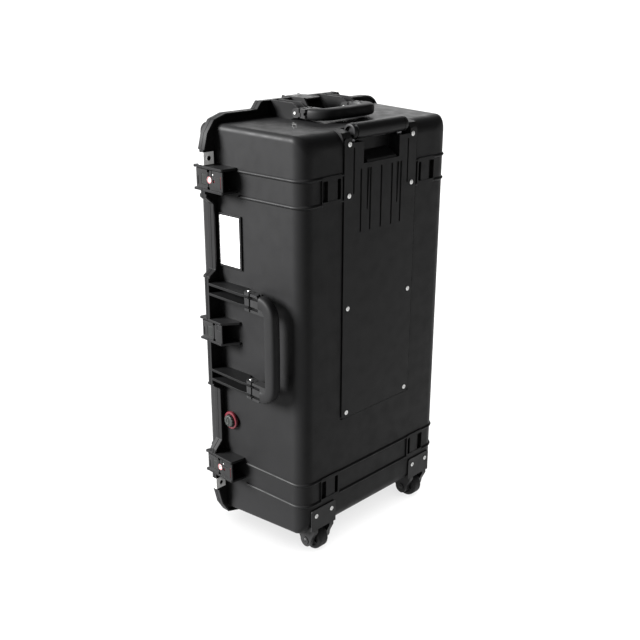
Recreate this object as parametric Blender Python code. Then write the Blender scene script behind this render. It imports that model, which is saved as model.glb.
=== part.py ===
"""A hard wheeled travel case for a drone, standing upright on its wheel end.

Axes: +Z is up, along the case; the lid faces -Y and the trolley panel +Y; latches and the side handle are on
+X and the lid hinge on -X. The origin is at the middle of the base, at floor level. Units are metres.
"""
import math

import bmesh
import bpy
from mathutils import Matrix, Vector

MM = 0.001
DEPTH_SHIFT = -8.5 * MM             # from the layout below to the origin in the middle of the whole case
GAP = 0.3 * MM                      # clearance between touching pieces
ROUND_SEGMENTS = 16

# Case body
PART_Y = -67 * MM                   # plane where base and lid meet
BACK_Y = 137 * MM                   # flat back of the base
FRONT_Y = -121 * MM                 # flat front of the lid
RIM_HALF_WIDTH = 202.7 * MM
BODY_HALF_WIDTH = 190 * MM          # at the back
LID_HALF_WIDTH = 197 * MM           # at the front of the lid
RIM_LOW, RIM_HIGH = 34 * MM, 782 * MM
BODY_LOW, BODY_HIGH = 45 * MM, 779 * MM
EDGE_RADIUS = 27 * MM               # round between the sides and the back
LID_EDGE_RADIUS = 20 * MM           # the same round on the lid
CORNER_RADIUS = 11 * MM             # corner seen from the back, at the rim
BACK_CORNER_RADIUS = 24 * MM        # the same corner, at the back face
WALL = 5.7 * MM
DRAFT = (RIM_HALF_WIDTH - BODY_HALF_WIDTH) / (BACK_Y - EDGE_RADIUS - PART_Y)
LID_END_DRAFT = (BODY_LOW - RIM_LOW) / (PART_Y - FRONT_Y - LID_EDGE_RADIUS)
RIDGE_HEIGHTS = [107.6 * MM, 151.7 * MM, 664 * MM, 707.6 * MM]
RIDGE_PROUD, RIDGE_WIDTH = 2.8 * MM, 4.6 * MM
PAD_INNER_X, PAD_OUTER_X = 100 * MM, 144 * MM

# Rim flange
FLANGE_X = 214 * MM
FLANGE_LOW, FLANGE_HIGH = 20 * MM, 797 * MM
FLANGE_CORNER = 36 * MM
FLANGE_DEPTH = 9 * MM
ZONE_DEPTH = 5.5 * MM               # the thinner flange under the handles and latches
ZONE_X = 229 * MM
ZONE_SIDE_CENTER = 410 * MM         # middle of the side handle
ZONE_SIDE_HALF = 106 * MM
ZONE_TOP_HALF = 98 * MM
ZONE_RAMP = 16 * MM
END_SHIFT = 581 * MM                # puts a top-end station on the same offset as a side station
SKID_HALF = 98 * MM

# Latches
LATCH_OUT = 230.5 * MM
LATCH_HALF = 16.6 * MM
LATCH_AXIS = (222.4 * MM, -74.5 * MM)
TOWER_BACK_Y = -10 * MM             # where the base's tower plates meet the side of the case
BUTTON_Y, KEY_Y = -61 * MM, -46 * MM
LID_TOWER_Y = -88 * MM
TOWER_OFFSET = 19.6 * MM
TOWER_PLATE = 4.6 * MM
LATCHES = [                         # (name, end, position along the edge, has a key lock, depth of the tip)
    ("upper", "side", 691.5 * MM, True, -12.5 * MM),
    ("middle", "side", 414 * MM, False, -28 * MM),
    ("lower", "side", 141 * MM, True, -12.5 * MM),
    ("top", "end", 0 * MM, False, -28 * MM),
]

# Carry handles
FIN_PLATE = 4.6 * MM
FIN_SPACING = 18.4 * MM
ARM_WIDTH = 33.5 * MM
BAR_DEPTH = 14 * MM
HANDLES = [                         # (name, end, along, half length, pivot outwards, pivot depth, reach of the bar)
    ("side", "side", 410 * MM, 99.5 * MM, 219 * MM, 36 * MM, 62.5 * MM),
    ("top", "end", 0 * MM, 78 * MM, 213 * MM, 6 * MM, 58 * MM),
]

# Trolley
COVER_HALF = 93.5 * MM
COVER_LOW, COVER_HIGH = 258 * MM, 767 * MM
COVER_Y = (137.3 * MM, 139.4 * MM)
COVER_SCREW_X = 81.5 * MM
COVER_SCREW_HEIGHTS = [268.2 * MM, 469.3 * MM, 670.2 * MM, 756.7 * MM]
TUBE_X, TUBE_Y = 60 * MM, 124 * MM
CHANNEL_HALF, CHANNEL_Y = 72 * MM, 110 * MM
CHANNEL_LOW = 290 * MM
SLEEVE_RADII = (10 * MM, 8.4 * MM)
MIDDLE_RADII = (8.0 * MM, 6.2 * MM)
INNER_RADIUS = 5.8 * MM
GRIP_AXIS_Y, GRIP_AXIS_Z = 126.5 * MM, 774.5 * MM
TROLLEY_GRIP_RADIUS, TROLLEY_GRIP_HALF = 13.5 * MM, 69.5 * MM
NOTCH_HALF, NOTCH_LOW = 75 * MM, 760.5 * MM   # room for the trolley grip in the top edge
WELL_HALF, WELL_LOW, WELL_HIGH = 46 * MM, 717 * MM, 758 * MM
GROOVE_X = [-52 * MM, -28 * MM, 0, 28 * MM, 52 * MM]

# Wheels
WHEEL_X, WHEEL_Y, WHEEL_RADIUS = 138 * MM, 116.5 * MM, 24 * MM
WHEEL_HALF = 12 * MM
CHEEKS = [(-26 * MM, -15 * MM), (15 * MM, 26 * MM)]
BRACKET_SCREW_X, BRACKET_SCREW_Z = 20 * MM, 83 * MM

# Lid hinge
HINGE_AXIS = (-226.3 * MM, PART_Y)
HINGE_RADIUS = 7.3 * MM
HINGE_PIN_RADIUS = 2.6 * MM
HINGE_CENTERS = [190 * MM, 640 * MM]
KNUCKLE_HALF, KNUCKLE_MIDDLE_HALF = 46 * MM, 22 * MM

MATERIALS = {
    "shell_polymer": ((0.022, 0.022, 0.023), 0.55, 0.0),
    "handle_rubber": ((0.018, 0.018, 0.019), 0.7, 0.0),
    "latch_polymer": ((0.02, 0.02, 0.021), 0.45, 0.0),
    "stainless_steel": ((0.6, 0.6, 0.59), 0.3, 1.0),
    "trolley_metal": ((0.3, 0.3, 0.31), 0.35, 1.0),
    "wheel_rubber": ((0.03, 0.03, 0.03), 0.65, 0.0),
    "foam": ((0.05, 0.05, 0.052), 0.95, 0.0),
    "seal_rubber": ((0.02, 0.02, 0.02), 0.6, 0.0),
    "valve_grey": ((0.2, 0.2, 0.2), 0.5, 0.0),
    "valve_red": ((0.5, 0.02, 0.02), 0.45, 0.0),
    "card_white": ((0.85, 0.85, 0.85), 0.6, 0.0),
}


# ---------------------------------------------------------------- meshes

def mesh_object(name, points, faces):
    """An object with a mesh of these points and faces, its faces turned outwards."""
    bm = bmesh.new()
    verts = [bm.verts.new(point) for point in points]
    for face in faces:
        bm.faces.new([verts[index] for index in face])
    bmesh.ops.recalc_face_normals(bm, faces=bm.faces)
    mesh = bpy.data.meshes.new(name)
    bm.to_mesh(mesh)
    bm.free()
    obj = bpy.data.objects.new(name, mesh)
    bpy.context.scene.collection.objects.link(obj)
    return obj


def loft(name, rings):
    """A solid skinned over closed rings of equal length, capped at both ends."""
    count = len(rings[0])
    points = [point for ring in rings for point in ring]
    faces = [list(range(count)), list(range(len(points) - count, len(points)))]
    for level in range(len(rings) - 1):
        for index in range(count):
            after = (index + 1) % count
            low = level * count
            high = low + count
            faces.append([low + index, low + after, high + after, high + index])
    return mesh_object(name, points, faces)


def prism(name, outline, axis, low, high):
    """An outline of (a, b) points swept along an axis. a and b are the two other axes, in X, Y, Z order."""
    rings = [[place(axis, level, a, b) for a, b in outline] for level in (low, high)]
    return loft(name, rings)


def place(axis, level, a, b):
    if axis == "X":
        return (level, a, b)
    if axis == "Y":
        return (a, level, b)
    return (a, b, level)


def block(name, low, high):
    outline = [(low[0], low[1]), (high[0], low[1]), (high[0], high[1]), (low[0], high[1])]
    return prism(name, outline, "Z", low[2], high[2])


def arc(center, radius, start, end, steps):
    """Points on an arc, with the angles in degrees."""
    points = []
    for step in range(steps + 1):
        angle = math.radians(start + (end - start) * step / steps)
        points.append((center[0] + radius * math.cos(angle), center[1] + radius * math.sin(angle)))
    return points


def circle(center, radius, segments=ROUND_SEGMENTS):
    return arc(center, radius, 0, 360 - 360 / segments, segments - 1)


def rod(name, axis, center, radius, low, high, segments=ROUND_SEGMENTS):
    return prism(name, circle(center, radius, segments), axis, low, high)


def rounded(low_a, high_a, low_b, high_b, radius, steps=4):
    """A rectangle with round corners, counter-clockwise."""
    points = arc((high_a - radius, high_b - radius), radius, 0, 90, steps)
    points += arc((low_a + radius, high_b - radius), radius, 90, 180, steps)
    points += arc((low_a + radius, low_b + radius), radius, 180, 270, steps)
    points += arc((high_a - radius, low_b + radius), radius, 270, 360, steps)
    return points


def combine(obj, tools, operation):
    """Adds or cuts each tool, and removes the tools."""
    for tool in tools:
        modifier = obj.modifiers.new("boolean", "BOOLEAN")
        modifier.object = tool
        modifier.operation = operation
        modifier.solver = "EXACT"
        bpy.context.view_layer.update()
        graph = bpy.context.evaluated_depsgraph_get()
        mesh = bpy.data.meshes.new_from_object(obj.evaluated_get(graph))
        obj.modifiers.remove(modifier)
        before = obj.data
        obj.data = mesh
        bpy.data.meshes.remove(before)
        bpy.data.objects.remove(tool, do_unlink=True)
    return obj


def gather(name, objects):
    """One object holding several separate bodies, for use as a single boolean tool."""
    bm = bmesh.new()
    for obj in objects:
        bm.from_mesh(obj.data)
        bpy.data.objects.remove(obj, do_unlink=True)
    mesh = bpy.data.meshes.new(name)
    bm.to_mesh(mesh)
    bm.free()
    result = bpy.data.objects.new(name, mesh)
    bpy.context.scene.collection.objects.link(result)
    return result


def unite(obj, tools):
    return combine(obj, tools, "UNION")


def cut(obj, tools):
    return combine(obj, tools, "DIFFERENCE")


def finish(obj, material, parent=None, smooth_angle=35):
    """Gives a node its material and shading, and moves its origin onto its joint's empty."""
    bm = bmesh.new()
    bm.from_mesh(obj.data)
    bmesh.ops.remove_doubles(bm, verts=bm.verts, dist=0.00001)
    bmesh.ops.dissolve_degenerate(bm, edges=bm.edges, dist=0.00001)
    bm.to_mesh(obj.data)
    bm.free()
    obj.data.materials.clear()
    obj.data.materials.append(material_named(material))
    obj.data.shade_smooth()
    obj.data.set_sharp_from_angle(angle=math.radians(smooth_angle))
    if parent is not None:
        obj.data.transform(Matrix.Translation(-parent.matrix_world.translation))
        obj.parent = parent
    return obj


def material_named(name):
    material = bpy.data.materials.get(name)
    if material is None:
        color, roughness, metallic = MATERIALS[name]
        material = bpy.data.materials.new(name)
        material.use_nodes = True
        shader = material.node_tree.nodes["Principled BSDF"]
        shader.inputs["Base Color"].default_value = (*color, 1)
        shader.inputs["Roughness"].default_value = roughness
        shader.inputs["Metallic"].default_value = metallic
    return material


def joint_empty(name, position):
    empty = bpy.data.objects.new(name, None)
    empty.location = position
    empty.empty_display_size = 0.02
    bpy.context.scene.collection.objects.link(empty)
    bpy.context.view_layer.update()
    return empty


# ---------------------------------------------------------------- stations on the edge of the case

def station_matrix(end, along):
    """Maps a station's own (outward, depth, along) directions to the case.

    On the side they are X, Y and Z. On the top end outward is Z and along is -X.
    """
    if end == "side":
        return Matrix.Translation((0, 0, along))
    turn = Matrix(((0, 0, -1, -along), (0, 1, 0, 0), (1, 0, 0, END_SHIFT), (0, 0, 0, 1)))
    return turn


def at_station(obj, end, along):
    obj.data.transform(station_matrix(end, along))
    return obj


def side_x(y):
    """Half width of the base at a depth y."""
    return RIM_HALF_WIDTH - DRAFT * (y - PART_Y)


# ---------------------------------------------------------------- case shells

def shell_side(rim_y, face_y):
    """Direction from rim to face, half width at the face and edge radius, for the base or the lid."""
    if face_y > rim_y:
        return 1, BODY_HALF_WIDTH, EDGE_RADIUS
    return -1, LID_HALF_WIDTH, LID_EDGE_RADIUS


def body_rings(rim_y, face_y, inset, steps=5):
    """Rounded-rectangle rings from the rim to a flat face, closing in over the rounded edge."""
    direction, face_half, edge = shell_side(rim_y, face_y)
    radius = edge - inset
    face_y = face_y - direction * inset
    turn_y = face_y - direction * radius
    rings = []
    levels = [(rim_y, 0, 0)]
    for step in range(steps + 1):
        angle = math.radians(90 * step / steps)
        y = turn_y + direction * radius * math.sin(angle)
        levels.append((y, 1, radius * (1 - math.cos(angle))))
    for y, share, close in levels:
        half = RIM_HALF_WIDTH + (face_half - RIM_HALF_WIDTH) * share - inset - close
        low = RIM_LOW + (BODY_LOW - RIM_LOW) * share + inset + close
        high = RIM_HIGH + (BODY_HIGH - RIM_HIGH) * share - inset - close
        corner = max(CORNER_RADIUS - inset / 2, 6 * MM)
        corner += (BACK_CORNER_RADIUS - corner) * (close / radius)
        rings.append([(a, y, b) for a, b in rounded(-half, half, low, high, corner)])
    return rings


def ridge(rim_y, face_y, height):
    """One raised line round the outside of a shell: a U-shaped strip, buried in the wall."""
    direction, face_half, edge = shell_side(rim_y, face_y)
    turn_y = face_y - direction * edge
    center_x = face_half - edge
    outline = []
    for proud, back in ((RIDGE_PROUD, False), (-2 * MM, True)):
        right = [(RIM_HALF_WIDTH + proud, rim_y)]
        for a, b in arc((center_x, 0), edge + proud, 0, 90, 5):
            right.append((a, turn_y + direction * b))
        left = [(-a, b) for a, b in reversed(right)]
        line = right + left
        outline += list(reversed(line)) if back else line
    half = RIDGE_WIDTH / 2
    return prism("ridge", outline, "Z", height - half, height + half)


def pads(face_y):
    """Square pads between the two ridges of each band, near both edges of the face."""
    direction = 1 if face_y > 0 else -1
    far = face_y + direction * RIDGE_PROUD * 0.8
    near = face_y - direction * 2 * MM
    found = []
    for low, high in (RIDGE_HEIGHTS[:2], RIDGE_HEIGHTS[2:]):
        for side in (-1, 1):
            edges = sorted((side * PAD_INNER_X, side * PAD_OUTER_X))
            corner_low = (edges[0], min(near, far), low)
            corner_high = (edges[1], max(near, far), high)
            found.append(block("pad", corner_low, corner_high))
    return found


def flange(face, direction):
    """The rim flange of one shell: a plain ring, with wider thin zones under handles and latches."""
    near = face
    far = face + direction * FLANGE_DEPTH
    thin = face + direction * ZONE_DEPTH
    ring = rounded(-FLANGE_X, FLANGE_X, FLANGE_LOW, FLANGE_HIGH, FLANGE_CORNER, 5)
    base = prism("flange", ring, "Y", min(near, far), max(near, far))
    root = 205 * MM
    middle = (ZONE_SIDE_CENTER - ZONE_SIDE_HALF, ZONE_SIDE_CENTER + ZONE_SIDE_HALF)
    upper_end = FLANGE_HIGH - 55 * MM
    lower_end = FLANGE_LOW + 75 * MM
    outlines = [
        [(root, middle[0] - ZONE_RAMP), (ZONE_X, middle[0]), (ZONE_X, middle[1]), (root, middle[1] + ZONE_RAMP)],
        [(root, 638 * MM), (ZONE_X, 658 * MM), (ZONE_X, upper_end), (222 * MM, 768 * MM), (206 * MM, 789 * MM),
         (180 * MM, FLANGE_HIGH), (176 * MM, 785 * MM), (200 * MM, 740 * MM)],
        [(root, 194 * MM), (200 * MM, 60 * MM), (170 * MM, 30 * MM), (178 * MM, FLANGE_LOW), (204 * MM, 27 * MM),
         (218 * MM, 50 * MM), (ZONE_X, lower_end), (ZONE_X, 172 * MM)],
    ]
    top = ZONE_X + END_SHIFT
    inner = FLANGE_HIGH - 8 * MM
    outlines.append([(-ZONE_TOP_HALF - ZONE_RAMP, inner), (-ZONE_TOP_HALF, top), (ZONE_TOP_HALF, top),
                     (ZONE_TOP_HALF + ZONE_RAMP, inner)])
    for outline in outlines:
        unite(base, [prism("zone", outline, "Y", min(near, thin), max(near, thin))])
    skid = [(-SKID_HALF - 22 * MM, FLANGE_LOW + 8 * MM), (-SKID_HALF, 0), (SKID_HALF, 0),
            (SKID_HALF + 22 * MM, FLANGE_LOW + 8 * MM)]
    unite(base, [prism("skid", skid, "Y", min(near, far), max(near, far))])
    return base


def latch_windows():
    """Cutters that clear the wide flange zones between the two plates of each latch tower."""
    half = TOWER_OFFSET - TOWER_PLATE / 2
    cutters = []
    for _, end, along, _, _ in LATCHES:
        cutter = block("window", (212 * MM, PART_Y - 12 * MM, -half), (240 * MM, PART_Y + 12 * MM, half))
        cutters.append(at_station(cutter, end, along))
    return cutters


def tower_plates(face, on_base):
    """The two plates of every latch tower, on one shell. The base's slope back to the side of the case."""
    inner_x = 196 * MM
    plates = []
    for _, end, along, _, tip_y in LATCHES:
        outline = [(inner_x, face), (LATCH_OUT, face)]
        if on_base:
            outline += [(LATCH_OUT, tip_y - 1 * MM), (203 * MM, TOWER_BACK_Y), (inner_x, TOWER_BACK_Y)]
        else:
            outline += [(LATCH_OUT, LID_TOWER_Y), (inner_x, LID_TOWER_Y)]
        for side in (-1, 1):
            low, high = side * TOWER_OFFSET - TOWER_PLATE / 2, side * TOWER_OFFSET + TOWER_PLATE / 2
            plates.append(at_station(prism("plate", outline, "Z", low, high), end, along))
    return plates


def hinge_leaf(name, spans, leaf_direction):
    """Knuckles on the hinge side, with a leg into the shell that they belong to."""
    x, y = HINGE_AXIS
    knuckles = []
    for low, high in spans:
        end_y = y + leaf_direction * HINGE_RADIUS
        if leaf_direction > 0:
            outline = arc((x, y), HINGE_RADIUS, 0, -180, 8)
            outline += [(x - HINGE_RADIUS, y + 2 * MM), (-206 * MM, end_y + 6 * MM), (-206 * MM, y + 1.5 * MM),
                        (x + HINGE_RADIUS, y + 1.5 * MM)]
        else:
            outline = arc((x, y), HINGE_RADIUS, 0, 180, 8)
            outline += [(x - HINGE_RADIUS, y - 2 * MM), (-206 * MM, end_y - 6 * MM), (-206 * MM, y - 1.5 * MM),
                        (x + HINGE_RADIUS, y - 1.5 * MM)]
        knuckle = prism(name, outline, "Z", low, high)
        knuckles.append(knuckle)
    return knuckles


def hinge_bores():
    return [rod("bore", "Z", HINGE_AXIS, HINGE_PIN_RADIUS + GAP, center - KNUCKLE_HALF - 5 * MM,
                center + KNUCKLE_HALF + 5 * MM, 12) for center in HINGE_CENTERS]


def base_knuckle_spans():
    spans = []
    for center in HINGE_CENTERS:
        spans.append((center - KNUCKLE_HALF, center - KNUCKLE_MIDDLE_HALF - GAP))
        spans.append((center + KNUCKLE_MIDDLE_HALF + GAP, center + KNUCKLE_HALF))
    return spans


def lid_knuckle_spans():
    return [(center - KNUCKLE_MIDDLE_HALF, center + KNUCKLE_MIDDLE_HALF) for center in HINGE_CENTERS]


def knuckle_clearance(spans):
    """Cutters that keep a shell's flange clear of the other shell's knuckles."""
    x, y = HINGE_AXIS
    return [prism("clear", circle((x, y), HINGE_RADIUS + 1 * MM, 16), "Z", low - 2 * GAP, high + 2 * GAP)
            for low, high in spans]


def fin_offsets(half):
    """Middles of the two fins of one handle end, from the handle's middle."""
    outer = half - FIN_PLATE / 2 - 5.2 * MM
    return (outer, outer - FIN_SPACING)


def handle_fins():
    """The double webs that carry each handle's pivots."""
    fins = []
    for _, end, along, half, x, y, _ in HANDLES:
        outline = [(195 * MM, -60 * MM), (ZONE_X, -62 * MM), (ZONE_X - 0.5 * MM, y - 13 * MM)]
        outline += [(x + 8 * MM, y - 7 * MM)]
        outline += arc((x, y), 8 * MM, 0, 180, 6)
        outline += [(x - 14 * MM, y - 14 * MM), (195 * MM, y - 26 * MM)]
        for offset in fin_offsets(half):
            for side in (-1, 1):
                middle = side * offset
                fin = prism("fin", outline, "Z", middle - FIN_PLATE / 2, middle + FIN_PLATE / 2)
                fins.append(at_station(fin, end, along))
    return fins


def handle_pin_span(half):
    return (half - ARM_WIDTH - 1.5 * MM, half + 1.5 * MM)


def handle_pin_rods(radius, spare):
    """One rod through each end of each handle, longer than the pin by spare."""
    rods = []
    for _, end, along, half, x, y, _ in HANDLES:
        low, high = handle_pin_span(half)
        for side in (-1, 1):
            span = sorted((side * (low - spare), side * (high + spare)))
            rods.append(at_station(rod("hole", "Z", (x, y), radius, span[0], span[1], 10), end, along))
    return rods


def screw_holes(depth_y, radius):
    """Blind holes for the cover screws and the wheel bracket screws."""
    holes = []
    for x, z in screw_places():
        holes.append(rod("hole", "Y", (x, z), radius, depth_y, 145 * MM, 8))
    return gather("holes", holes)


def cover_screw_places():
    return [(side * COVER_SCREW_X, height) for side in (-1, 1) for height in COVER_SCREW_HEIGHTS]


def bracket_screw_places():
    return [(side * WHEEL_X + step * BRACKET_SCREW_X, BRACKET_SCREW_Z) for side in (-1, 1) for step in (-1, 1)]


def screw_places():
    return cover_screw_places() + bracket_screw_places()


def make_base_shell():
    face = PART_Y + GAP / 2
    shell = loft("base_shell", body_rings(face, BACK_Y, 0))
    for height in RIDGE_HEIGHTS:
        unite(shell, [ridge(face, BACK_Y, height)])
    unite(shell, [gather("pads", pads(BACK_Y))])
    unite(shell, [flange(face, 1)])
    cut(shell, [gather("windows", latch_windows())])
    unite(shell, [gather("plates", tower_plates(face, True))])
    unite(shell, [gather("fins", handle_fins())])
    cut(shell, [gather("clear", knuckle_clearance(lid_knuckle_spans()))])
    unite(shell, [gather("knuckles", hinge_leaf("knuckle", base_knuckle_spans(), 1))])
    cut(shell, hinge_bores())
    cavity = loft("cavity", body_rings(face - 1 * MM, BACK_Y, WALL))
    hump = block("hump", (-NOTCH_HALF - WALL, CHANNEL_Y - WALL, CHANNEL_LOW - WALL),
                 (NOTCH_HALF + WALL, BACK_Y, RIM_HIGH))
    cut(cavity, [hump])
    cut(shell, [cavity])
    channel = block("channel", (-CHANNEL_HALF, CHANNEL_Y, CHANNEL_LOW), (CHANNEL_HALF, 150 * MM, 800 * MM))
    seat = block("seat", (-COVER_HALF - GAP, BACK_Y, COVER_LOW - GAP), (COVER_HALF + GAP, 150 * MM, 800 * MM))
    notch = block("notch", (-NOTCH_HALF, CHANNEL_Y, NOTCH_LOW), (NOTCH_HALF, 150 * MM, 800 * MM))
    cut(shell, [channel, seat, notch])
    wells = []
    for side in (-1, 1):
        low, high = sorted((side * (WHEEL_X - 32 * MM), side * (WHEEL_X + 32 * MM)))
        wells.append(block("well", (low, 84 * MM, 0), (high, 150 * MM, 62 * MM)))
    roofs = []
    for side in (-1, 1):
        low, high = sorted((side * (WHEEL_X - 37 * MM), side * (WHEEL_X + 37 * MM)))
        roofs.append(block("roof", (low, 79 * MM, BODY_LOW + 4 * MM), (high, BACK_Y - 3 * MM, 67 * MM)))
    unite(shell, [gather("roofs", roofs)])
    cut(shell, [gather("wells", wells)])
    cut(shell, [screw_holes(132.2 * MM, 2.1 * MM)])
    cut(shell, [gather("pins", handle_pin_rods(2.8 * MM, 5 * MM))])
    cut(shell, [plate_seats(1), gather("locks", padlock_holes())])
    return finish(shell, "shell_polymer")


def make_lid_shell(empty):
    face = PART_Y - GAP / 2
    shell = loft("lid_shell", body_rings(face, FRONT_Y, 0))
    for height in RIDGE_HEIGHTS:
        unite(shell, [ridge(face, FRONT_Y, height)])
    unite(shell, [gather("pads", pads(FRONT_Y))])
    unite(shell, [flange(face, -1)])
    cut(shell, [gather("windows", latch_windows())])
    unite(shell, [gather("plates", tower_plates(face, False))])
    cut(shell, [gather("clear", knuckle_clearance(base_knuckle_spans()))])
    unite(shell, [gather("knuckles", hinge_leaf("knuckle", lid_knuckle_spans(), -1))])
    cut(shell, hinge_bores())
    cut(shell, [loft("cavity", body_rings(face + 1 * MM, FRONT_Y, WALL))])
    cut(shell, [seal_ring("groove", 204 * MM, 209 * MM, face - 4.6 * MM, face + 1 * MM, 0)])
    cut(shell, [plate_seats(-1), gather("locks", padlock_holes())])
    return finish(shell, "shell_polymer", empty)


def seal_ring(name, inner, outer, low_y, high_y, inset):
    """A rectangular ring that follows the rim, between two half widths."""
    inner += inset
    outer -= inset
    shift = RIM_HALF_WIDTH
    outer_line = rounded(-outer, outer, RIM_LOW - (outer - shift), RIM_HIGH + (outer - shift), 12 * MM)
    inner_line = rounded(-inner, inner, RIM_LOW - (inner - shift), RIM_HIGH + (inner - shift), 9 * MM)
    ring = prism(name, outer_line, "Y", low_y, high_y)
    return cut(ring, [prism("inside", inner_line, "Y", low_y - 1 * MM, high_y + 1 * MM)])


# ---------------------------------------------------------------- padlock plates

PLATE_HEIGHTS = {"upper": (714.5 * MM, 736 * MM), "lower": (87 * MM, 109 * MM)}
PLATE_THICK = 1.3 * MM
PLATE_INNER_X = 208 * MM


def plate_center(which):
    low, high = PLATE_HEIGHTS[which]
    return ((PLATE_INNER_X + ZONE_X) / 2, (low + high) / 2)


def padlock_holes(radius=4.2 * MM):
    return [rod("hole", "Y", plate_center(which), radius, -80 * MM, -50 * MM, 12) for which in PLATE_HEIGHTS]


def plate_seats(direction):
    """Cutters that thin the flange where the plates lie on it."""
    seats = []
    for low, high in PLATE_HEIGHTS.values():
        depths = sorted(PART_Y + direction * depth for depth in (ZONE_DEPTH + GAP / 2, 14 * MM))
        seats.append(block("seat", (PLATE_INNER_X - 1 * MM, depths[0], low - 1 * MM),
                           (240 * MM, depths[1], high + 1 * MM)))
    return gather("seats", seats)


def make_padlock_plate(name, which, direction, empty):
    """A folded stainless plate: one leg on the flange's back, one wrapped over its edge."""
    low, high = PLATE_HEIGHTS[which]
    face = PART_Y + direction * (ZONE_DEPTH + GAP / 2)
    near = face + direction * GAP
    far = near + direction * PLATE_THICK
    edge = ZONE_X + GAP
    outline = [(PLATE_INNER_X, near), (edge, near), (edge, PART_Y + direction * GAP),
               (edge + PLATE_THICK, PART_Y + direction * GAP), (edge + PLATE_THICK, far), (PLATE_INNER_X, far)]
    plate = prism(name, outline, "Z", low, high)
    cut(plate, [rod("hole", "Y", plate_center(which), 4.2 * MM, -80 * MM, -50 * MM, 12)])
    return finish(plate, "stainless_steel", empty)


# ---------------------------------------------------------------- latches

def make_latch(name, end, along, locked, tip_y, lid_empty):
    """A lever hinged on the lid, with a finger lip over a pocket in the base."""
    x, y = LATCH_AXIS
    end_y = y - 9 * MM
    outline = [(LATCH_OUT, tip_y), (LATCH_OUT, end_y + 2 * MM), (LATCH_OUT - 2 * MM, end_y), (x + 2 * MM, end_y)]
    outline += arc((x, y), 7.2 * MM, 255, 150, 5)
    inner = x - 7.5 * MM
    outline += [(inner, y + 7 * MM), (inner, -50 * MM), (inner + 8 * MM, -44 * MM),
                (LATCH_OUT - 5.5 * MM, tip_y - 3 * MM), (LATCH_OUT - 3.5 * MM, tip_y)]
    lever = prism("latch_" + name, outline, "Z", -LATCH_HALF, LATCH_HALF)
    pocket = block("pocket", (LATCH_OUT - 7.4 * MM, BUTTON_Y - 6.3 * MM, -9.3 * MM),
                   (240 * MM, BUTTON_Y + 6.3 * MM, 9.3 * MM))
    tools = [pocket, rod("bore", "Z", (x, y), 2.2 * MM, -20 * MM, 20 * MM, 10)]
    if locked:
        tools.append(rod("keyway", "X", (KEY_Y, 0), 5 * MM, LATCH_OUT - 3.8 * MM, 240 * MM))
    cut(lever, tools)
    at_station(lever, end, along)
    matrix = station_matrix(end, along)
    hinge = joint_empty("hinge_latch_" + name, matrix @ Vector((x, y, 0)))
    finish(lever, "latch_polymer", hinge)
    button = block("latch_button_" + name, (LATCH_OUT - 5 * MM, BUTTON_Y - 6 * MM, -9 * MM),
                   (LATCH_OUT - 0.2 * MM, BUTTON_Y + 6 * MM, 9 * MM))
    finish(at_station(button, end, along), "latch_polymer", hinge)
    if locked:
        cylinder = rod("key_cylinder_" + name, "X", (KEY_Y, 0), 4.6 * MM, LATCH_OUT - 3.5 * MM, LATCH_OUT - 0.1 * MM)
        slot = block("slot", (LATCH_OUT - 1 * MM, KEY_Y - 0.6 * MM, -2.6 * MM),
                     (240 * MM, KEY_Y + 0.6 * MM, 2.6 * MM))
        cut(cylinder, [slot])
        finish(at_station(cylinder, end, along), "stainless_steel", hinge)
    keep_world(hinge, lid_empty)


def keep_world(child, parent):
    """Parents one empty to another without moving it."""
    child.location = child.location - parent.matrix_world.translation
    child.parent = parent


# ---------------------------------------------------------------- carry handles

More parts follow.
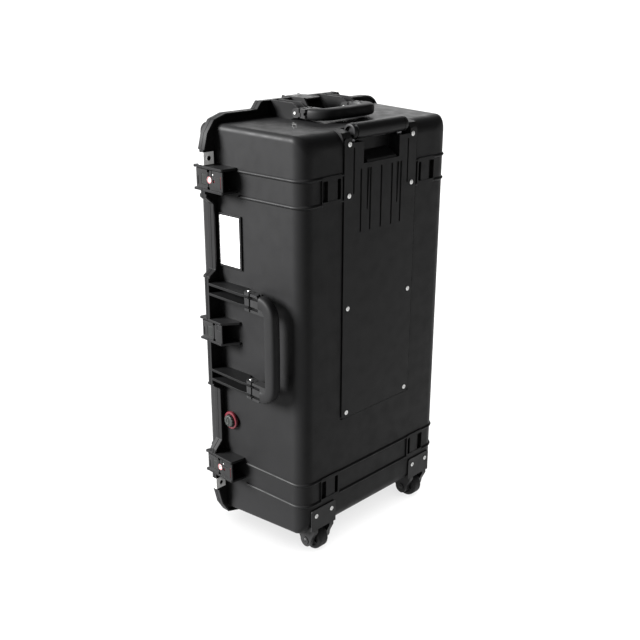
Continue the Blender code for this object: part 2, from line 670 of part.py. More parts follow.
def make_handle(name, end, along, half, x, y, reach):
    """A flat D-shaped frame on two forked pivots, and the soft grip round its bar."""
    bar = y + reach
    round_radius = 19 * MM
    outer = [(y - 7 * MM, -half), (bar - round_radius, -half)]
    outer += arc((bar - round_radius, -half + round_radius), round_radius, 270, 360, 4)
    outer += arc((bar - round_radius, half - round_radius), round_radius, 0, 90, 4)
    outer += [(y - 7 * MM, half)]
    frame = prism("handle_frame_" + name, outer, "X", x - 6 * MM, x + 6 * MM)
    inner = half - ARM_WIDTH
    opening = rounded(y - 20 * MM, bar - BAR_DEPTH, -inner, inner, 5 * MM, 3)
    tools = [prism("opening", opening, "X", 200 * MM, 250 * MM)]
    reach_of_slot = FIN_PLATE / 2 + 0.4 * MM
    for side in (-1, 1):
        for offset in fin_offsets(half):
            middle = side * offset
            tools.append(block("slot", (200 * MM, y - 20 * MM, middle - reach_of_slot),
                               (250 * MM, y + 10.5 * MM, middle + reach_of_slot)))
    front = [(x - 30 * MM, y - 30 * MM), (x + 30 * MM, y - 30 * MM), (x + 30 * MM, y)]
    front += arc((x, y), 6 * MM, 0, -180, 8) + [(x - 30 * MM, y)]
    tools.append(prism("front", front, "Z", -120 * MM, 120 * MM))
    low, high = handle_pin_span(half)
    for side in (-1, 1):
        span = sorted((side * (low - 3 * MM), side * (high + 3 * MM)))
        tools.append(rod("bore", "Z", (x, y), 2.8 * MM, span[0], span[1], 10))
    cut(frame, tools)
    at_station(frame, end, along)
    hinge = joint_empty("hinge_handle_" + name, station_matrix(end, along) @ Vector((x, y, 0)))
    finish(frame, "shell_polymer", hinge)

    middle_y = bar - BAR_DEPTH / 2
    grip_half = inner - 5.5 * MM
    grip_outline = rounded(x - 11 * MM, x + 10.5 * MM, middle_y - 13 * MM, middle_y + 12 * MM, 9 * MM, 4)
    grip = prism("handle_grip_" + name, grip_outline, "Z", -grip_half, grip_half)
    core_half = BAR_DEPTH / 2 + GAP
    cut(grip, [block("core", (x - 6 * MM - GAP, middle_y - core_half, -half),
                     (x + 6 * MM + GAP, middle_y + core_half, half))])
    at_station(grip, end, along)
    finish(grip, "handle_rubber", hinge)

    for side, word in ((-1, "a"), (1, "b")):
        span = sorted((side * low, side * high))
        pin = rod("handle_pin_" + name + "_" + word, "Z", (x, y), 2.5 * MM, span[0], span[1], 10)
        finish(at_station(pin, end, along), "stainless_steel")


# ---------------------------------------------------------------- trolley

def trolley_tube(name, x, radii, low, high, empty=None):
    tube = rod(name, "Z", (x, TUBE_Y), radii[0], low, high)
    cut(tube, [rod("bore", "Z", (x, TUBE_Y), radii[1], low - 5 * MM, high + 5 * MM)])
    return finish(tube, "trolley_metal", empty)


def make_trolley():
    middle = joint_empty("slide_trolley_middle", (0, TUBE_Y, CHANNEL_LOW))
    inner = joint_empty("slide_trolley_inner", (0, TUBE_Y, CHANNEL_LOW + 10 * MM))
    for side, word in ((-1, "left"), (1, "right")):
        x = side * TUBE_X
        trolley_tube("trolley_sleeve_" + word, x, SLEEVE_RADII, CHANNEL_LOW + GAP, 744 * MM)
        trolley_tube("trolley_middle_tube_" + word, x, MIDDLE_RADII, CHANNEL_LOW + 6 * MM, 750 * MM, middle)
        tube = rod("trolley_inner_tube_" + word, "Z", (x, TUBE_Y), INNER_RADIUS, CHANNEL_LOW + 12 * MM, 765 * MM)
        finish(tube, "trolley_metal", inner)
    y, z = GRIP_AXIS_Y, GRIP_AXIS_Z
    grip = rod("trolley_grip", "X", (y, z), TROLLEY_GRIP_RADIUS, -TROLLEY_GRIP_HALF, TROLLEY_GRIP_HALF, 24)
    tools = [rod("socket", "Z", (side * TUBE_X, TUBE_Y), INNER_RADIUS + GAP, 750 * MM, 765 * MM + GAP)
             for side in (-1, 1)]
    tools.append(block("pocket", (-20.3 * MM, y - 6.3 * MM, 750 * MM), (20.3 * MM, y + 6.3 * MM, 773 * MM)))
    cut(grip, tools)
    finish(grip, "shell_polymer", inner)
    button = block("trolley_button", (-20 * MM, y - 6 * MM, 761.5 * MM), (20 * MM, y + 6 * MM, 768 * MM))
    finish(button, "latch_polymer", inner)
    inner.location = inner.location - middle.matrix_world.translation
    inner.parent = middle


def make_trolley_cover():
    low, high = COVER_Y
    outline = rounded(-COVER_HALF, COVER_HALF, COVER_LOW, COVER_HIGH, 6 * MM, 3)
    cover = prism("trolley_cover", outline, "Y", low, high)
    wall = 2.6 * MM
    unite(cover, [block("pan", (-WELL_HALF - wall, 112.5 * MM, WELL_LOW - wall),
                        (WELL_HALF + wall, low + 1 * MM, WELL_HIGH))])
    tools = [block("well", (-WELL_HALF, 112.5 * MM + wall, WELL_LOW), (WELL_HALF, 150 * MM, WELL_HIGH + 20 * MM))]
    tools.append(block("notch", (-NOTCH_HALF, 100 * MM, WELL_HIGH), (NOTCH_HALF, 150 * MM, 800 * MM)))
    grooves = [block("groove", (x - 1.6 * MM, high - 1.2 * MM, 605 * MM), (x + 1.6 * MM, 150 * MM, 712 * MM))
               for x in GROOVE_X]
    tools.append(gather("grooves", grooves))
    holes = [rod("hole", "Y", (x, z), 2.1 * MM, 130 * MM, 150 * MM, 8) for x, z in cover_screw_places()]
    tools.append(gather("holes", holes))
    cut(cover, tools)
    return finish(cover, "shell_polymer")


def make_screws():
    """Pan-head screws; head above, shank through the cover or bracket plate."""
    for index, (x, z) in enumerate(cover_screw_places()):
        screw("cover_screw_%d" % (index + 1), x, z, COVER_Y[1])
    for index, (x, z) in enumerate(bracket_screw_places()):
        screw("bracket_screw_%d" % (index + 1), x, z, COVER_Y[1])


def screw(name, x, z, face_y):
    head = rod(name, "Y", (x, z), 4.3 * MM, face_y + GAP, 140.8 * MM, 12)
    shank = rod("shank", "Y", (x, z), 1.8 * MM, 132.6 * MM, face_y + 0.6 * MM, 8)
    unite(head, [shank])
    finish(head, "stainless_steel")


# ---------------------------------------------------------------- wheels

def make_wheels():
    for side, word in ((-1, "left"), (1, "right")):
        center = side * WHEEL_X
        low_y = 84.5 * MM
        roof = block("wheel_bracket_" + word, (center - 31.5 * MM, low_y, 53 * MM),
                     (center + 31.5 * MM, COVER_Y[1], 61.5 * MM))
        plate = block("plate", (center - 31.5 * MM, COVER_Y[0], 55 * MM),
                      (center + 31.5 * MM, COVER_Y[1], 97 * MM))
        cheek = [(low_y, 56 * MM), (WHEEL_Y - 13 * MM, WHEEL_RADIUS)]
        cheek += arc((WHEEL_Y, WHEEL_RADIUS), 13 * MM, 200, 340, 6)
        cheek += [(WHEEL_Y + 13 * MM, WHEEL_RADIUS), (COVER_Y[1], 50 * MM), (COVER_Y[1], 56 * MM)]
        cheeks = [prism("cheek", cheek, "X", center + a, center + b) for a, b in CHEEKS]
        unite(roof, [plate, gather("cheeks", cheeks)])
        holes = [rod("hole", "Y", (x, z), 2.1 * MM, 130 * MM, 150 * MM, 8)
                 for x, z in bracket_screw_places() if x * side > 0]
        bore = rod("bore", "X", (WHEEL_Y, WHEEL_RADIUS), 4 * MM + GAP, center - 40 * MM, center + 40 * MM, 16)
        cut(roof, [gather("holes", holes), bore])
        finish(roof, "shell_polymer")
        axle = rod("wheel_axle_" + word, "X", (WHEEL_Y, WHEEL_RADIUS), 4 * MM, center - 28 * MM, center + 28 * MM)
        finish(axle, "stainless_steel")
        spin = joint_empty("spin_wheel_" + word, (center, WHEEL_Y, WHEEL_RADIUS))
        finish(make_wheel("wheel_" + word, center), "wheel_rubber", spin)


def make_wheel(name, center):
    """A narrow wheel with a rounded tread and dished faces, turned about its axle."""
    radius = WHEEL_RADIUS
    half = WHEEL_HALF
    profile = [(half - 2 * MM, 4 * MM + GAP), (half, 6 * MM), (half, 9 * MM), (half - 2.5 * MM, 11 * MM),
               (half - 2.5 * MM, 16 * MM), (half, 18 * MM), (half, radius - 4 * MM), (half - 3 * MM, radius)]
    profile += [(-x, r) for x, r in reversed(profile)]
    segments = 28
    rings = []
    for x, r in profile:
        ring = [(center + x, a, b) for a, b in circle((WHEEL_Y, WHEEL_RADIUS), r, segments)]
        rings.append(ring)
    points = [point for ring in rings for point in ring]
    faces = []
    for level in range(len(rings)):
        following = (level + 1) % len(rings)
        for index in range(segments):
            after = (index + 1) % segments
            faces.append([level * segments + index, level * segments + after,
                          following * segments + after, following * segments + index])
    return mesh_object(name, points, faces)


# ---------------------------------------------------------------- fittings

def side_strip(name, near, far, y_range, z_range):
    """A plate lying on the drafted side face, between two distances from it."""
    low, high = y_range
    outline = [(side_x(low) + near, low), (side_x(low) + far, low), (side_x(high) + far, high),
               (side_x(high) + near, high)]
    return prism(name, outline, "Z", z_range[0], z_range[1])


def make_fittings():
    card_y = (-56 * MM, -7 * MM)
    card_z = (537 * MM, 626 * MM)
    holder = side_strip("card_holder", GAP, 3.4 * MM, (card_y[0] - 1.2 * MM, card_y[1] + 5 * MM),
                        (card_z[0] - 4 * MM, card_z[1] + 4 * MM))
    cut(holder, [side_strip("tray", 1.4 * MM, 6 * MM, (card_y[0] - GAP, card_y[1] + GAP),
                            (card_z[0] - GAP, card_z[1] + GAP))])
    finish(holder, "shell_polymer")
    finish(side_strip("id_card", 1.8 * MM, 2.8 * MM, card_y, card_z), "card_white")
    valve_y, valve_z = -40 * MM, 233 * MM
    near = side_x(valve_y - 17 * MM) + 2 * GAP
    cap = rod("pressure_valve_cap", "X", (valve_y, valve_z), 12 * MM, near, near + 10 * MM, 20)
    finish(cap, "valve_grey")
    ring = rod("pressure_valve_ring", "X", (valve_y, valve_z), 17 * MM, near, near + 5 * MM, 24)
    cut(ring, [rod("inside", "X", (valve_y, valve_z), 12 * MM + GAP, near - 1 * MM, near + 9 * MM, 20)])
    finish(ring, "valve_red")


# ---------------------------------------------------------------- foam

FOAM_FACE = PART_Y + 0.6 * MM
FOAM_BACK = 104 * MM
POCKET_FLOOR = 70 * MM
POCKETS = {                        # (low X, high X, low Z, high Z, floor Y)
    "drone": (-160 * MM, 70 * MM, 420 * MM, 720 * MM, POCKET_FLOOR),
    "controller": (-160 * MM, 20 * MM, 230 * MM, 380 * MM, 40 * MM),
    "battery_a": (100 * MM, 160 * MM, 600 * MM, 720 * MM, 40 * MM),
    "battery_b": (100 * MM, 160 * MM, 450 * MM, 570 * MM, 40 * MM),
    "battery_c": (60 * MM, 160 * MM, 260 * MM, 380 * MM, 40 * MM),
    "charger": (-160 * MM, 160 * MM, 90 * MM, 190 * MM, 50 * MM),
}


def foam_rings(face_y, back_y, side_gap):
    rings = []
    for y in (face_y, back_y):
        share = abs(y - PART_Y) * (DRAFT if back_y > face_y else LID_END_DRAFT)
        half = RIM_HALF_WIDTH - WALL - side_gap - share
        low = RIM_LOW + WALL + side_gap + share
        high = RIM_HIGH - WALL - side_gap - share * 0.4
        rings.append([(a, y, b) for a, b in rounded(-half, half, low, high, 12 * MM)])
    return rings


def make_foam(lid_empty):
    foam = loft("base_foam", foam_rings(FOAM_FACE, FOAM_BACK, 1 * MM))
    pockets = []
    for low_x, high_x, low_z, high_z, floor_y in POCKETS.values():
        outline = rounded(low_x, high_x, low_z, high_z, 12 * MM, 3)
        pockets.append(prism("pocket", outline, "Y", FOAM_FACE - 5 * MM, floor_y))
    cut(foam, [gather("pockets", pockets)])
    roof_cut = [block("roof", (side * WHEEL_X - 40 * MM, 76 * MM, 0), (side * WHEEL_X + 40 * MM, 150 * MM, 70 * MM))
                for side in (-1, 1)]
    cut(foam, [gather("roofs", roof_cut)])
    finish(foam, "foam")
    lid_foam = loft("lid_foam", foam_rings(PART_Y - 0.6 * MM, -100 * MM, 1.5 * MM))
    finish(lid_foam, "foam", lid_empty)


# ---------------------------------------------------------------- assembly

def main():
    for obj in list(bpy.data.objects):
        bpy.data.objects.remove(obj, do_unlink=True)
    lid = joint_empty("hinge_lid", (HINGE_AXIS[0], HINGE_AXIS[1], ZONE_SIDE_CENTER))
    make_base_shell()
    make_lid_shell(lid)
    face = PART_Y - GAP / 2
    finish(seal_ring("lid_seal", 204 * MM, 209 * MM, face - 4.3 * MM, face - 0.1 * MM, GAP), "seal_rubber", lid)
    for which in PLATE_HEIGHTS:
        make_padlock_plate("padlock_plate_base_" + which, which, 1, None)
        make_padlock_plate("padlock_plate_lid_" + which, which, -1, lid)
    for index, center in enumerate(HINGE_CENTERS):
        pin = rod("hinge_pin_%d" % (index + 1), "Z", HINGE_AXIS, HINGE_PIN_RADIUS, center - KNUCKLE_HALF,
                  center + KNUCKLE_HALF, 12)
        finish(pin, "stainless_steel")
    for latch in LATCHES:
        make_latch(*latch, lid)
    for handle in HANDLES:
        make_handle(*handle)
    make_trolley()
    make_trolley_cover()
    make_screws()
    make_wheels()
    make_fittings()
    make_foam(lid)
    center_on_origin()


def center_on_origin():
    """Moves the whole case so that the origin is in the middle of its depth."""
    for obj in bpy.data.objects:
        if obj.parent is None:
            obj.location.y += DEPTH_SHIFT


main()
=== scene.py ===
"""The looks of the wheeled drone case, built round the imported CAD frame.

Shapes are drawn in a layout frame in millimetres: +Z up the case, the lid on -Y, and the latches and the side
handle on +X.
piece() takes each one to the frame's metres and puts it on its CAD body.
"""
import math

import bmesh
import bpy
from mathutils import Matrix, Vector


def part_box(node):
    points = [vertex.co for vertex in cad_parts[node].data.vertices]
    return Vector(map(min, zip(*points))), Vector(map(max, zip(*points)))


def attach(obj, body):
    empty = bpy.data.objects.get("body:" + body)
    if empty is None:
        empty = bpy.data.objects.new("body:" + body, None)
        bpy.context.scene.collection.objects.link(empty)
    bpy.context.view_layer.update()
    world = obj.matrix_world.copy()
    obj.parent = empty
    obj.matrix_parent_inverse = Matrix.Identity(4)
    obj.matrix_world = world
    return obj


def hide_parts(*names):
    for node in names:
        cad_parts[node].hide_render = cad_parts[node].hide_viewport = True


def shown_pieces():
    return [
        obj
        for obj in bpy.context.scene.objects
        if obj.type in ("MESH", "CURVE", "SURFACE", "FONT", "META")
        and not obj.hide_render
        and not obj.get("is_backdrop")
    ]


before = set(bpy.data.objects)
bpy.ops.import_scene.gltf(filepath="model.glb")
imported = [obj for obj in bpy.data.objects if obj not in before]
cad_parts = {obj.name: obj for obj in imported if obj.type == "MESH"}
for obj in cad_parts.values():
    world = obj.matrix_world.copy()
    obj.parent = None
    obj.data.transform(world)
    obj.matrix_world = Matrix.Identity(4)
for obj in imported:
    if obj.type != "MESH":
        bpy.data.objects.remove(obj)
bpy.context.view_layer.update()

# ---------------------------------------------------------------- main sizes, in millimetres

PART_Y = -67.0                     # plane where base and lid meet
BACK_Y, FRONT_Y = 137.0, -121.0    # flat back of the base, flat front of the lid
RIM_HALF, BODY_HALF, LID_HALF = 202.7, 190.0, 197.0
RIM_LOW, RIM_HIGH = 34.0, 782.0
BODY_LOW, BODY_HIGH = 45.0, 779.0
EDGE_RADIUS, LID_EDGE_RADIUS = 27.0, 20.0
CORNER_RADIUS, BACK_CORNER_RADIUS = 11.0, 24.0
WALL = 5.7
DRAFT = (RIM_HALF - BODY_HALF) / (BACK_Y - EDGE_RADIUS - PART_Y)
FACE_GAP = 0.15                    # half the gap between the two shells
RIDGE_HEIGHTS = [107.6, 151.7, 664.0, 707.6]
RIDGE_PROUD = 2.8
PAD_X = (100.0, 144.0)
PAD_SLOTS = ((101.5, 108.5), (132.5, 144.5))
FLANGE_X, FLANGE_LOW, FLANGE_HIGH = 214.0, 20.0, 797.0
FLANGE_DEPTH, ZONE_DEPTH, LIP = 8.6, 5.5, 3.2
ZONE_X = 229.0
END_SHIFT = 581.0                  # a top-end station is a side station turned up and moved by this
TOP_Z = ZONE_X + END_SHIFT
COVER_HALF, COVER_LOW, COVER_HIGH = 93.5, 258.0, 767.0
COVER_Y = (137.3, 139.4)
LATCH_OUT = 230.5
LATCH_AXIS = (222.4, -74.5)
TOWER_OFFSET, TOWER_PLATE = 19.6, 4.6
LATCHES = {"upper": ("side", 691.5, True, -12.5), "middle": ("side", 414.0, False, -28.0),
           "lower": ("side", 141.0, True, -12.5), "top": ("end", 0.0, False, -28.0)}
HANDLES = {"side": ("side", 410.0, 99.5, 219.0, 36.0, 62.5), "top": ("end", 0.0, 78.0, 213.0, 6.0, 58.0)}
FIN_PLATE, FIN_SPACING, ARM_WIDTH = 4.6, 18.4, 33.5
GRIP_CORNER = 24.0
HINGE_X, HINGE_RADIUS = -226.3, 7.3
HINGE_CENTERS = [190.0, 640.0]
KNUCKLE_HALF, KNUCKLE_MIDDLE = 46.0, 22.0
NOTCH_HALF, NOTCH_LOW, CHANNEL_Y, CHANNEL_LOW, CHANNEL_HALF = 75.0, 760.5, 110.0, 290.0, 72.0
WHEEL_X = 138.0

SHIFT_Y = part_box("trolley_cover")[1].y * 1000 - COVER_Y[1]
TO_ROW = Matrix.Scale(0.001, 4) @ Matrix.Translation((0, SHIFT_Y, 0))


def layout_box(node):
    """A CAD node's lowest and highest corner, in layout millimetres."""
    low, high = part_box(node)
    shift = Vector((0, SHIFT_Y, 0))
    return low * 1000 - shift, high * 1000 - shift


def layout_center(node):
    low, high = layout_box(node)
    return (low + high) / 2


# ---------------------------------------------------------------- mesh helpers

def mesh_object(name, points, faces):
    bm = bmesh.new()
    verts = [bm.verts.new(point) for point in points]
    for face in faces:
        bm.faces.new([verts[index] for index in face])
    bmesh.ops.remove_doubles(bm, verts=bm.verts, dist=0.002)
    bmesh.ops.recalc_face_normals(bm, faces=bm.faces)
    mesh = bpy.data.meshes.new(name)
    bm.to_mesh(mesh)
    bm.free()
    obj = bpy.data.objects.new(name, mesh)
    bpy.context.scene.collection.objects.link(obj)
    return obj


def skin(name, rings, ring_closed=False):
    """A surface over rings of equal length: capped at both ends, or joined last to first."""
    count = len(rings[0])
    points = [point for ring in rings for point in ring]
    faces = []
    if not ring_closed:
        faces = [list(range(count)), list(range(len(points) - count, len(points)))]
    for level in range(len(rings) if ring_closed else len(rings) - 1):
        low = level * count
        high = (level + 1) % len(rings) * count
        for index in range(count):
            after = (index + 1) % count
            faces.append([low + index, low + after, high + after, high + index])
    return mesh_object(name, points, faces)


def on_axis(axis, level, a, b):
    return {"X": (level, a, b), "Y": (a, level, b), "Z": (a, b, level)}[axis]


def prism(name, outline, axis, low, high):
    """An outline of (a, b) points swept along an axis."""
    return skin(name, [[on_axis(axis, level, a, b) for a, b in outline] for level in (low, high)])


def block(name, low, high):
    outline = [(low[0], low[1]), (high[0], low[1]), (high[0], high[1]), (low[0], high[1])]
    return prism(name, outline, "Z", low[2], high[2])


def arc(center, radius, start, end, steps):
    angles = [math.radians(start + (end - start) * step / steps) for step in range(steps + 1)]
    return [(center[0] + radius * math.cos(a), center[1] + radius * math.sin(a)) for a in angles]


def circle(center, radius, segments=32):
    return arc(center, radius, 0, 360 - 360 / segments, segments - 1)


def rounded(low_a, high_a, low_b, high_b, radius, steps=8):
    points = arc((high_a - radius, high_b - radius), radius, 0, 90, steps)
    points += arc((low_a + radius, high_b - radius), radius, 90, 180, steps)
    points += arc((low_a + radius, low_b + radius), radius, 180, 270, steps)
    return points + arc((high_a - radius, low_b + radius), radius, 270, 360, steps)


def rod(name, axis, center, radius, low, high, segments=32):
    return prism(name, circle(center, radius, segments), axis, low, high)


def turned(name, profile, axis, center, segments=40, closed=False):
    """A profile of (level, radius) points turned about an axis through center."""
    rings = [[on_axis(axis, level, a, b) for a, b in circle(center, max(radius, 0.001), segments)]
             for level, radius in profile]
    return skin(name, rings, closed)


def inset(outline, distance):
    """A counter-clockwise outline moved inwards, corners mitred."""
    moved = []
    count = len(outline)
    for index in range(count):
        point = Vector(outline[index])
        before = (point - Vector(outline[index - 1])).normalized()
        after = (Vector(outline[(index + 1) % count]) - point).normalized()
        inward = Vector((-before.y - after.y, before.x + after.x)).normalized()
        scale = max(inward.dot(Vector((-before.y, before.x))), 0.4)
        spot = point + inward * (distance / scale)
        moved.append((spot.x, spot.y))
    return moved


def combine(obj, tools, operation):
    for tool in tools:
        modifier = obj.modifiers.new("boolean", "BOOLEAN")
        modifier.object = tool
        modifier.operation = operation
        modifier.solver = "EXACT"
        bpy.context.view_layer.update()
        graph = bpy.context.evaluated_depsgraph_get()
        mesh = bpy.data.meshes.new_from_object(obj.evaluated_get(graph))
        obj.modifiers.remove(modifier)
        obj.data = mesh
        bpy.data.objects.remove(tool, do_unlink=True)
    return obj


def cut(obj, *tools):
    return combine(obj, tools, "DIFFERENCE")


def unite(obj, *tools):
    return combine(obj, tools, "UNION")


def join(name, objects):
    """One object holding several separate bodies."""
    bm = bmesh.new()
    for obj in objects:
        bm.from_mesh(obj.data)
        bpy.data.objects.remove(obj, do_unlink=True)
    mesh = bpy.data.meshes.new(name)
    bm.to_mesh(mesh)
    bm.free()
    result = bpy.data.objects.new(name, mesh)
    bpy.context.scene.collection.objects.link(result)
    return result


def station_matrix(end, along):
    """Takes a station's (outward, depth, along) to the case. On the top end outward is Z and along is -X."""
    if end == "side":
        return Matrix.Translation((0, 0, along))
    return Matrix(((0, 0, -1, -along), (0, 1, 0, 0), (1, 0, 0, END_SHIFT), (0, 0, 0, 1)))


def at_station(obj, end, along):
    obj.data.transform(station_matrix(end, along))
    return obj


def piece(obj, body, material, replaces=(), bevel=0.5, smooth=32):
    """Takes a finished shape to the frame, gives it its edges and material, and puts it on its body."""
    bm = bmesh.new()
    bm.from_mesh(obj.data)
    bmesh.ops.remove_doubles(bm, verts=bm.verts, dist=0.004)
    bmesh.ops.dissolve_degenerate(bm, edges=bm.edges, dist=0.004)
    bmesh.ops.recalc_face_normals(bm, faces=bm.faces)
    bm.to_mesh(obj.data)
    bm.free()
    obj.data.transform(TO_ROW)
    obj.data.materials.clear()
    obj.data.materials.append(material)
    obj.data.shade_smooth()
    obj.data.set_sharp_from_angle(angle=math.radians(smooth))
    if bevel:
        modifier = obj.modifiers.new("edges", "BEVEL")
        modifier.width = bevel * 0.001
        modifier.segments = 2
        modifier.limit_method = "ANGLE"
        modifier.angle_limit = math.radians(smooth)
        modifier.harden_normals = True
        modifier.use_clamp_overlap = True
    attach(obj, body)
    if replaces:
        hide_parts(*replaces)
    return obj


# ---------------------------------------------------------------- materials

def new_material(name, color, roughness, metallic=0.0, specular=0.5):
    material = bpy.data.materials.new(name)
    material.use_nodes = True
    shader = material.node_tree.nodes["Principled BSDF"]
    shader.inputs["Base Color"].default_value = (*color, 1)
    shader.inputs["Roughness"].default_value = roughness
    shader.inputs["Metallic"].default_value = metallic
    shader.inputs["Specular IOR Level"].default_value = specular
    return material, material.node_tree.nodes, material.node_tree.links, shader


def noise(nodes, links, scale, detail=2.0, stretch=(1, 1, 1)):
    place = nodes.new("ShaderNodeTexCoord")
    mapping = nodes.new("ShaderNodeMapping")
    mapping.inputs["Scale"].default_value = stretch
    texture = nodes.new("ShaderNodeTexNoise")
    texture.inputs["Scale"].default_value = scale
    texture.inputs["Detail"].default_value = detail
    links.new(place.outputs["Object"], mapping.inputs["Vector"])
    links.new(mapping.outputs["Vector"], texture.inputs["Vector"])
    return texture.outputs["Fac"]


def span(nodes, links, value, low, high, from_low=0.0, from_high=1.0):
    node = nodes.new("ShaderNodeMapRange")
    node.inputs["From Min"].default_value = from_low
    node.inputs["From Max"].default_value = from_high
    node.inputs["To Min"].default_value = low
    node.inputs["To Max"].default_value = high
    links.new(value, node.inputs["Value"])
    return node.outputs["Result"]


def mixed_color(nodes, links, factor, low, high):
    node = nodes.new("ShaderNodeMix")
    node.data_type = "RGBA"
    node.inputs[6].default_value = (*low, 1)
    node.inputs[7].default_value = (*high, 1)
    links.new(factor, node.inputs[0])
    return node.outputs[2]


def bump(nodes, links, shader, height, strength, distance):
    node = nodes.new("ShaderNodeBump")
    node.inputs["Strength"].default_value = strength
    node.inputs["Distance"].default_value = distance
    links.new(height, node.inputs["Height"])
    links.new(node.outputs["Normal"], shader.inputs["Normal"])


def moulded(name, color, roughness, grain_mm, strength, specular=0.3, scuff=0.25):
    """Moulded plastic or rubber: fine grain, slow colour drift, and sparse lighter scuffs."""
    material, nodes, links, shader = new_material(name, color, roughness, 0.0, specular)
    drift = span(nodes, links, noise(nodes, links, 7.0, 3.0), 0.0, 1.0, 0.3, 0.7)
    dark = [channel * 0.88 for channel in color]
    light = [channel * 1.14 for channel in color]
    tint = mixed_color(nodes, links, drift, dark, light)
    marks = span(nodes, links, noise(nodes, links, 160.0, 4.0, (1, 1, 0.12)), 0.0, scuff, 0.66, 0.8)
    worn = nodes.new("ShaderNodeMix")
    worn.data_type = "RGBA"
    worn.inputs[7].default_value = (*[min(channel * 3 + 0.01, 1) for channel in color], 1)
    links.new(marks, worn.inputs[0])
    links.new(tint, worn.inputs[6])
    links.new(worn.outputs[2], shader.inputs["Base Color"])
    rough = span(nodes, links, noise(nodes, links, 45.0, 4.0), roughness - 0.06, roughness + 0.07, 0.3, 0.7)
    links.new(rough, shader.inputs["Roughness"])
    grain = noise(nodes, links, 1000.0 / grain_mm, 2.0)
    bump(nodes, links, shader, grain, strength, 0.0002)
    return material


def metal(name, color, roughness, stretch, line_mm=0.5, metallic=1.0):
    """Bare metal with fine drawn or turned lines and slight staining."""
    material, nodes, links, shader = new_material(name, color, roughness, metallic)
    lines = noise(nodes, links, 1000.0 / line_mm, 3.0, stretch)
    rough = span(nodes, links, lines, roughness - 0.08, roughness + 0.12, 0.3, 0.7)
    links.new(rough, shader.inputs["Roughness"])
    stain = span(nodes, links, noise(nodes, links, 60.0, 3.0), 0.0, 1.0, 0.3, 0.7)
    low = [channel * 0.82 for channel in color]
    links.new(mixed_color(nodes, links, stain, low, color), shader.inputs["Base Color"])
    bump(nodes, links, shader, lines, 0.12, 0.0001)
    return material


def foam_material():
    """Open-cell foam: pores of about a millimetre over a soft, uneven grey."""
    color = (0.035, 0.036, 0.038)
    material, nodes, links, shader = new_material("foam", color, 0.95, 0.0, 0.1)
    place = nodes.new("ShaderNodeTexCoord")
    pores = nodes.new("ShaderNodeTexVoronoi")
    pores.inputs["Scale"].default_value = 750.0
    links.new(place.outputs["Object"], pores.inputs["Vector"])
    depth = span(nodes, links, pores.outputs["Distance"], 0.0, 1.0, 0.0, 0.6)
    light = [channel * 1.5 for channel in color]
    dark = [channel * 0.5 for channel in color]
    links.new(mixed_color(nodes, links, depth, light, dark), shader.inputs["Base Color"])
    shader.inputs["Sheen Weight"].default_value = 0.15
    bump(nodes, links, shader, depth, 0.5, 0.0006)
    return material


SHELL = moulded("shell_plastic", (0.0105, 0.0105, 0.0108), 0.47, 0.8, 0.18, 0.11, 0.12)
COVER = moulded("cover_plastic", (0.0105, 0.0105, 0.0108), 0.44, 0.7, 0.15, 0.11, 0.12)
FRAME_PLASTIC = moulded("handle_plastic", (0.012, 0.012, 0.0123), 0.44, 0.7, 0.18, 0.2)
GRIP = moulded("grip_rubber", (0.008, 0.008, 0.0083), 0.55, 0.5, 0.3, 0.13, 0.1)
LATCH = moulded("latch_plastic", (0.0095, 0.0095, 0.0097), 0.42, 0.5, 0.15, 0.2, 0.3)
LATCH_FACE = moulded("latch_face_plastic", (0.013, 0.0142, 0.0135), 0.42, 0.5, 0.15, 0.25, 0.3)
WHEEL = moulded("wheel_rubber", (0.011, 0.011, 0.0115), 0.62, 0.6, 0.3, 0.25, 0.5)
SEAL = moulded("seal_rubber", (0.012, 0.012, 0.012), 0.6, 0.4, 0.12, 0.3, 0.0)
# A darker copy of the shell plastic for the handle webs: painted shade for the deep shadow between the fins.
SHADED_WEB = moulded("web_plastic_painted_shade", (0.0045, 0.0045, 0.0047), 0.5, 0.7, 0.18, 0.12, 0.1)
# Near-black colour for the sheets in the rim channels: painted shade, not a real inner part.
CHANNEL_SHADE = moulded("channel_painted_shade", (0.005, 0.005, 0.005), 0.7, 0.8, 0.2, 0.1, 0.0)
GREY = moulded("valve_grey", (0.011, 0.0135, 0.012), 0.5, 0.5, 0.12, 0.4, 0.3)
RED = moulded("valve_red", (0.085, 0.006, 0.012), 0.42, 0.5, 0.1, 0.45, 0.2)
LOCK_PINK = moulded("lock_collar", (0.42, 0.16, 0.17), 0.35, 0.4, 0.1, 0.5, 0.0)
DARK_RED = moulded("lock_red", (0.06, 0.004, 0.006), 0.4, 0.4, 0.1, 0.4, 0.0)
MARK = moulded("mark_white", (0.6, 0.6, 0.6), 0.5, 0.4, 0.08, 0.4, 0.0)
CARD = moulded("card_white", (0.92, 0.92, 0.92), 0.55, 0.3, 0.08, 0.4, 0.0)
STEEL = metal("stainless_steel", (0.66, 0.66, 0.65), 0.4, (1, 1, 1))
PLATE_STEEL = metal("plate_steel", (0.66, 0.66, 0.65), 0.36, (1, 1, 0.05), metallic=0.5)
ALUMINIUM = metal("trolley_metal", (0.3, 0.3, 0.31), 0.32, (1, 1, 0.03), 0.3)
AXLE_STEEL = metal("axle_steel", (0.05, 0.05, 0.05), 0.5, (1, 1, 1))
FOAM = foam_material()


# ---------------------------------------------------------------- shells

def shell_side(rim_y, face_y):
    """Direction from rim to face, half width at the face and edge radius, for the base or the lid."""
    if face_y > rim_y:
        return 1, BODY_HALF, EDGE_RADIUS
    return -1, LID_HALF, LID_EDGE_RADIUS


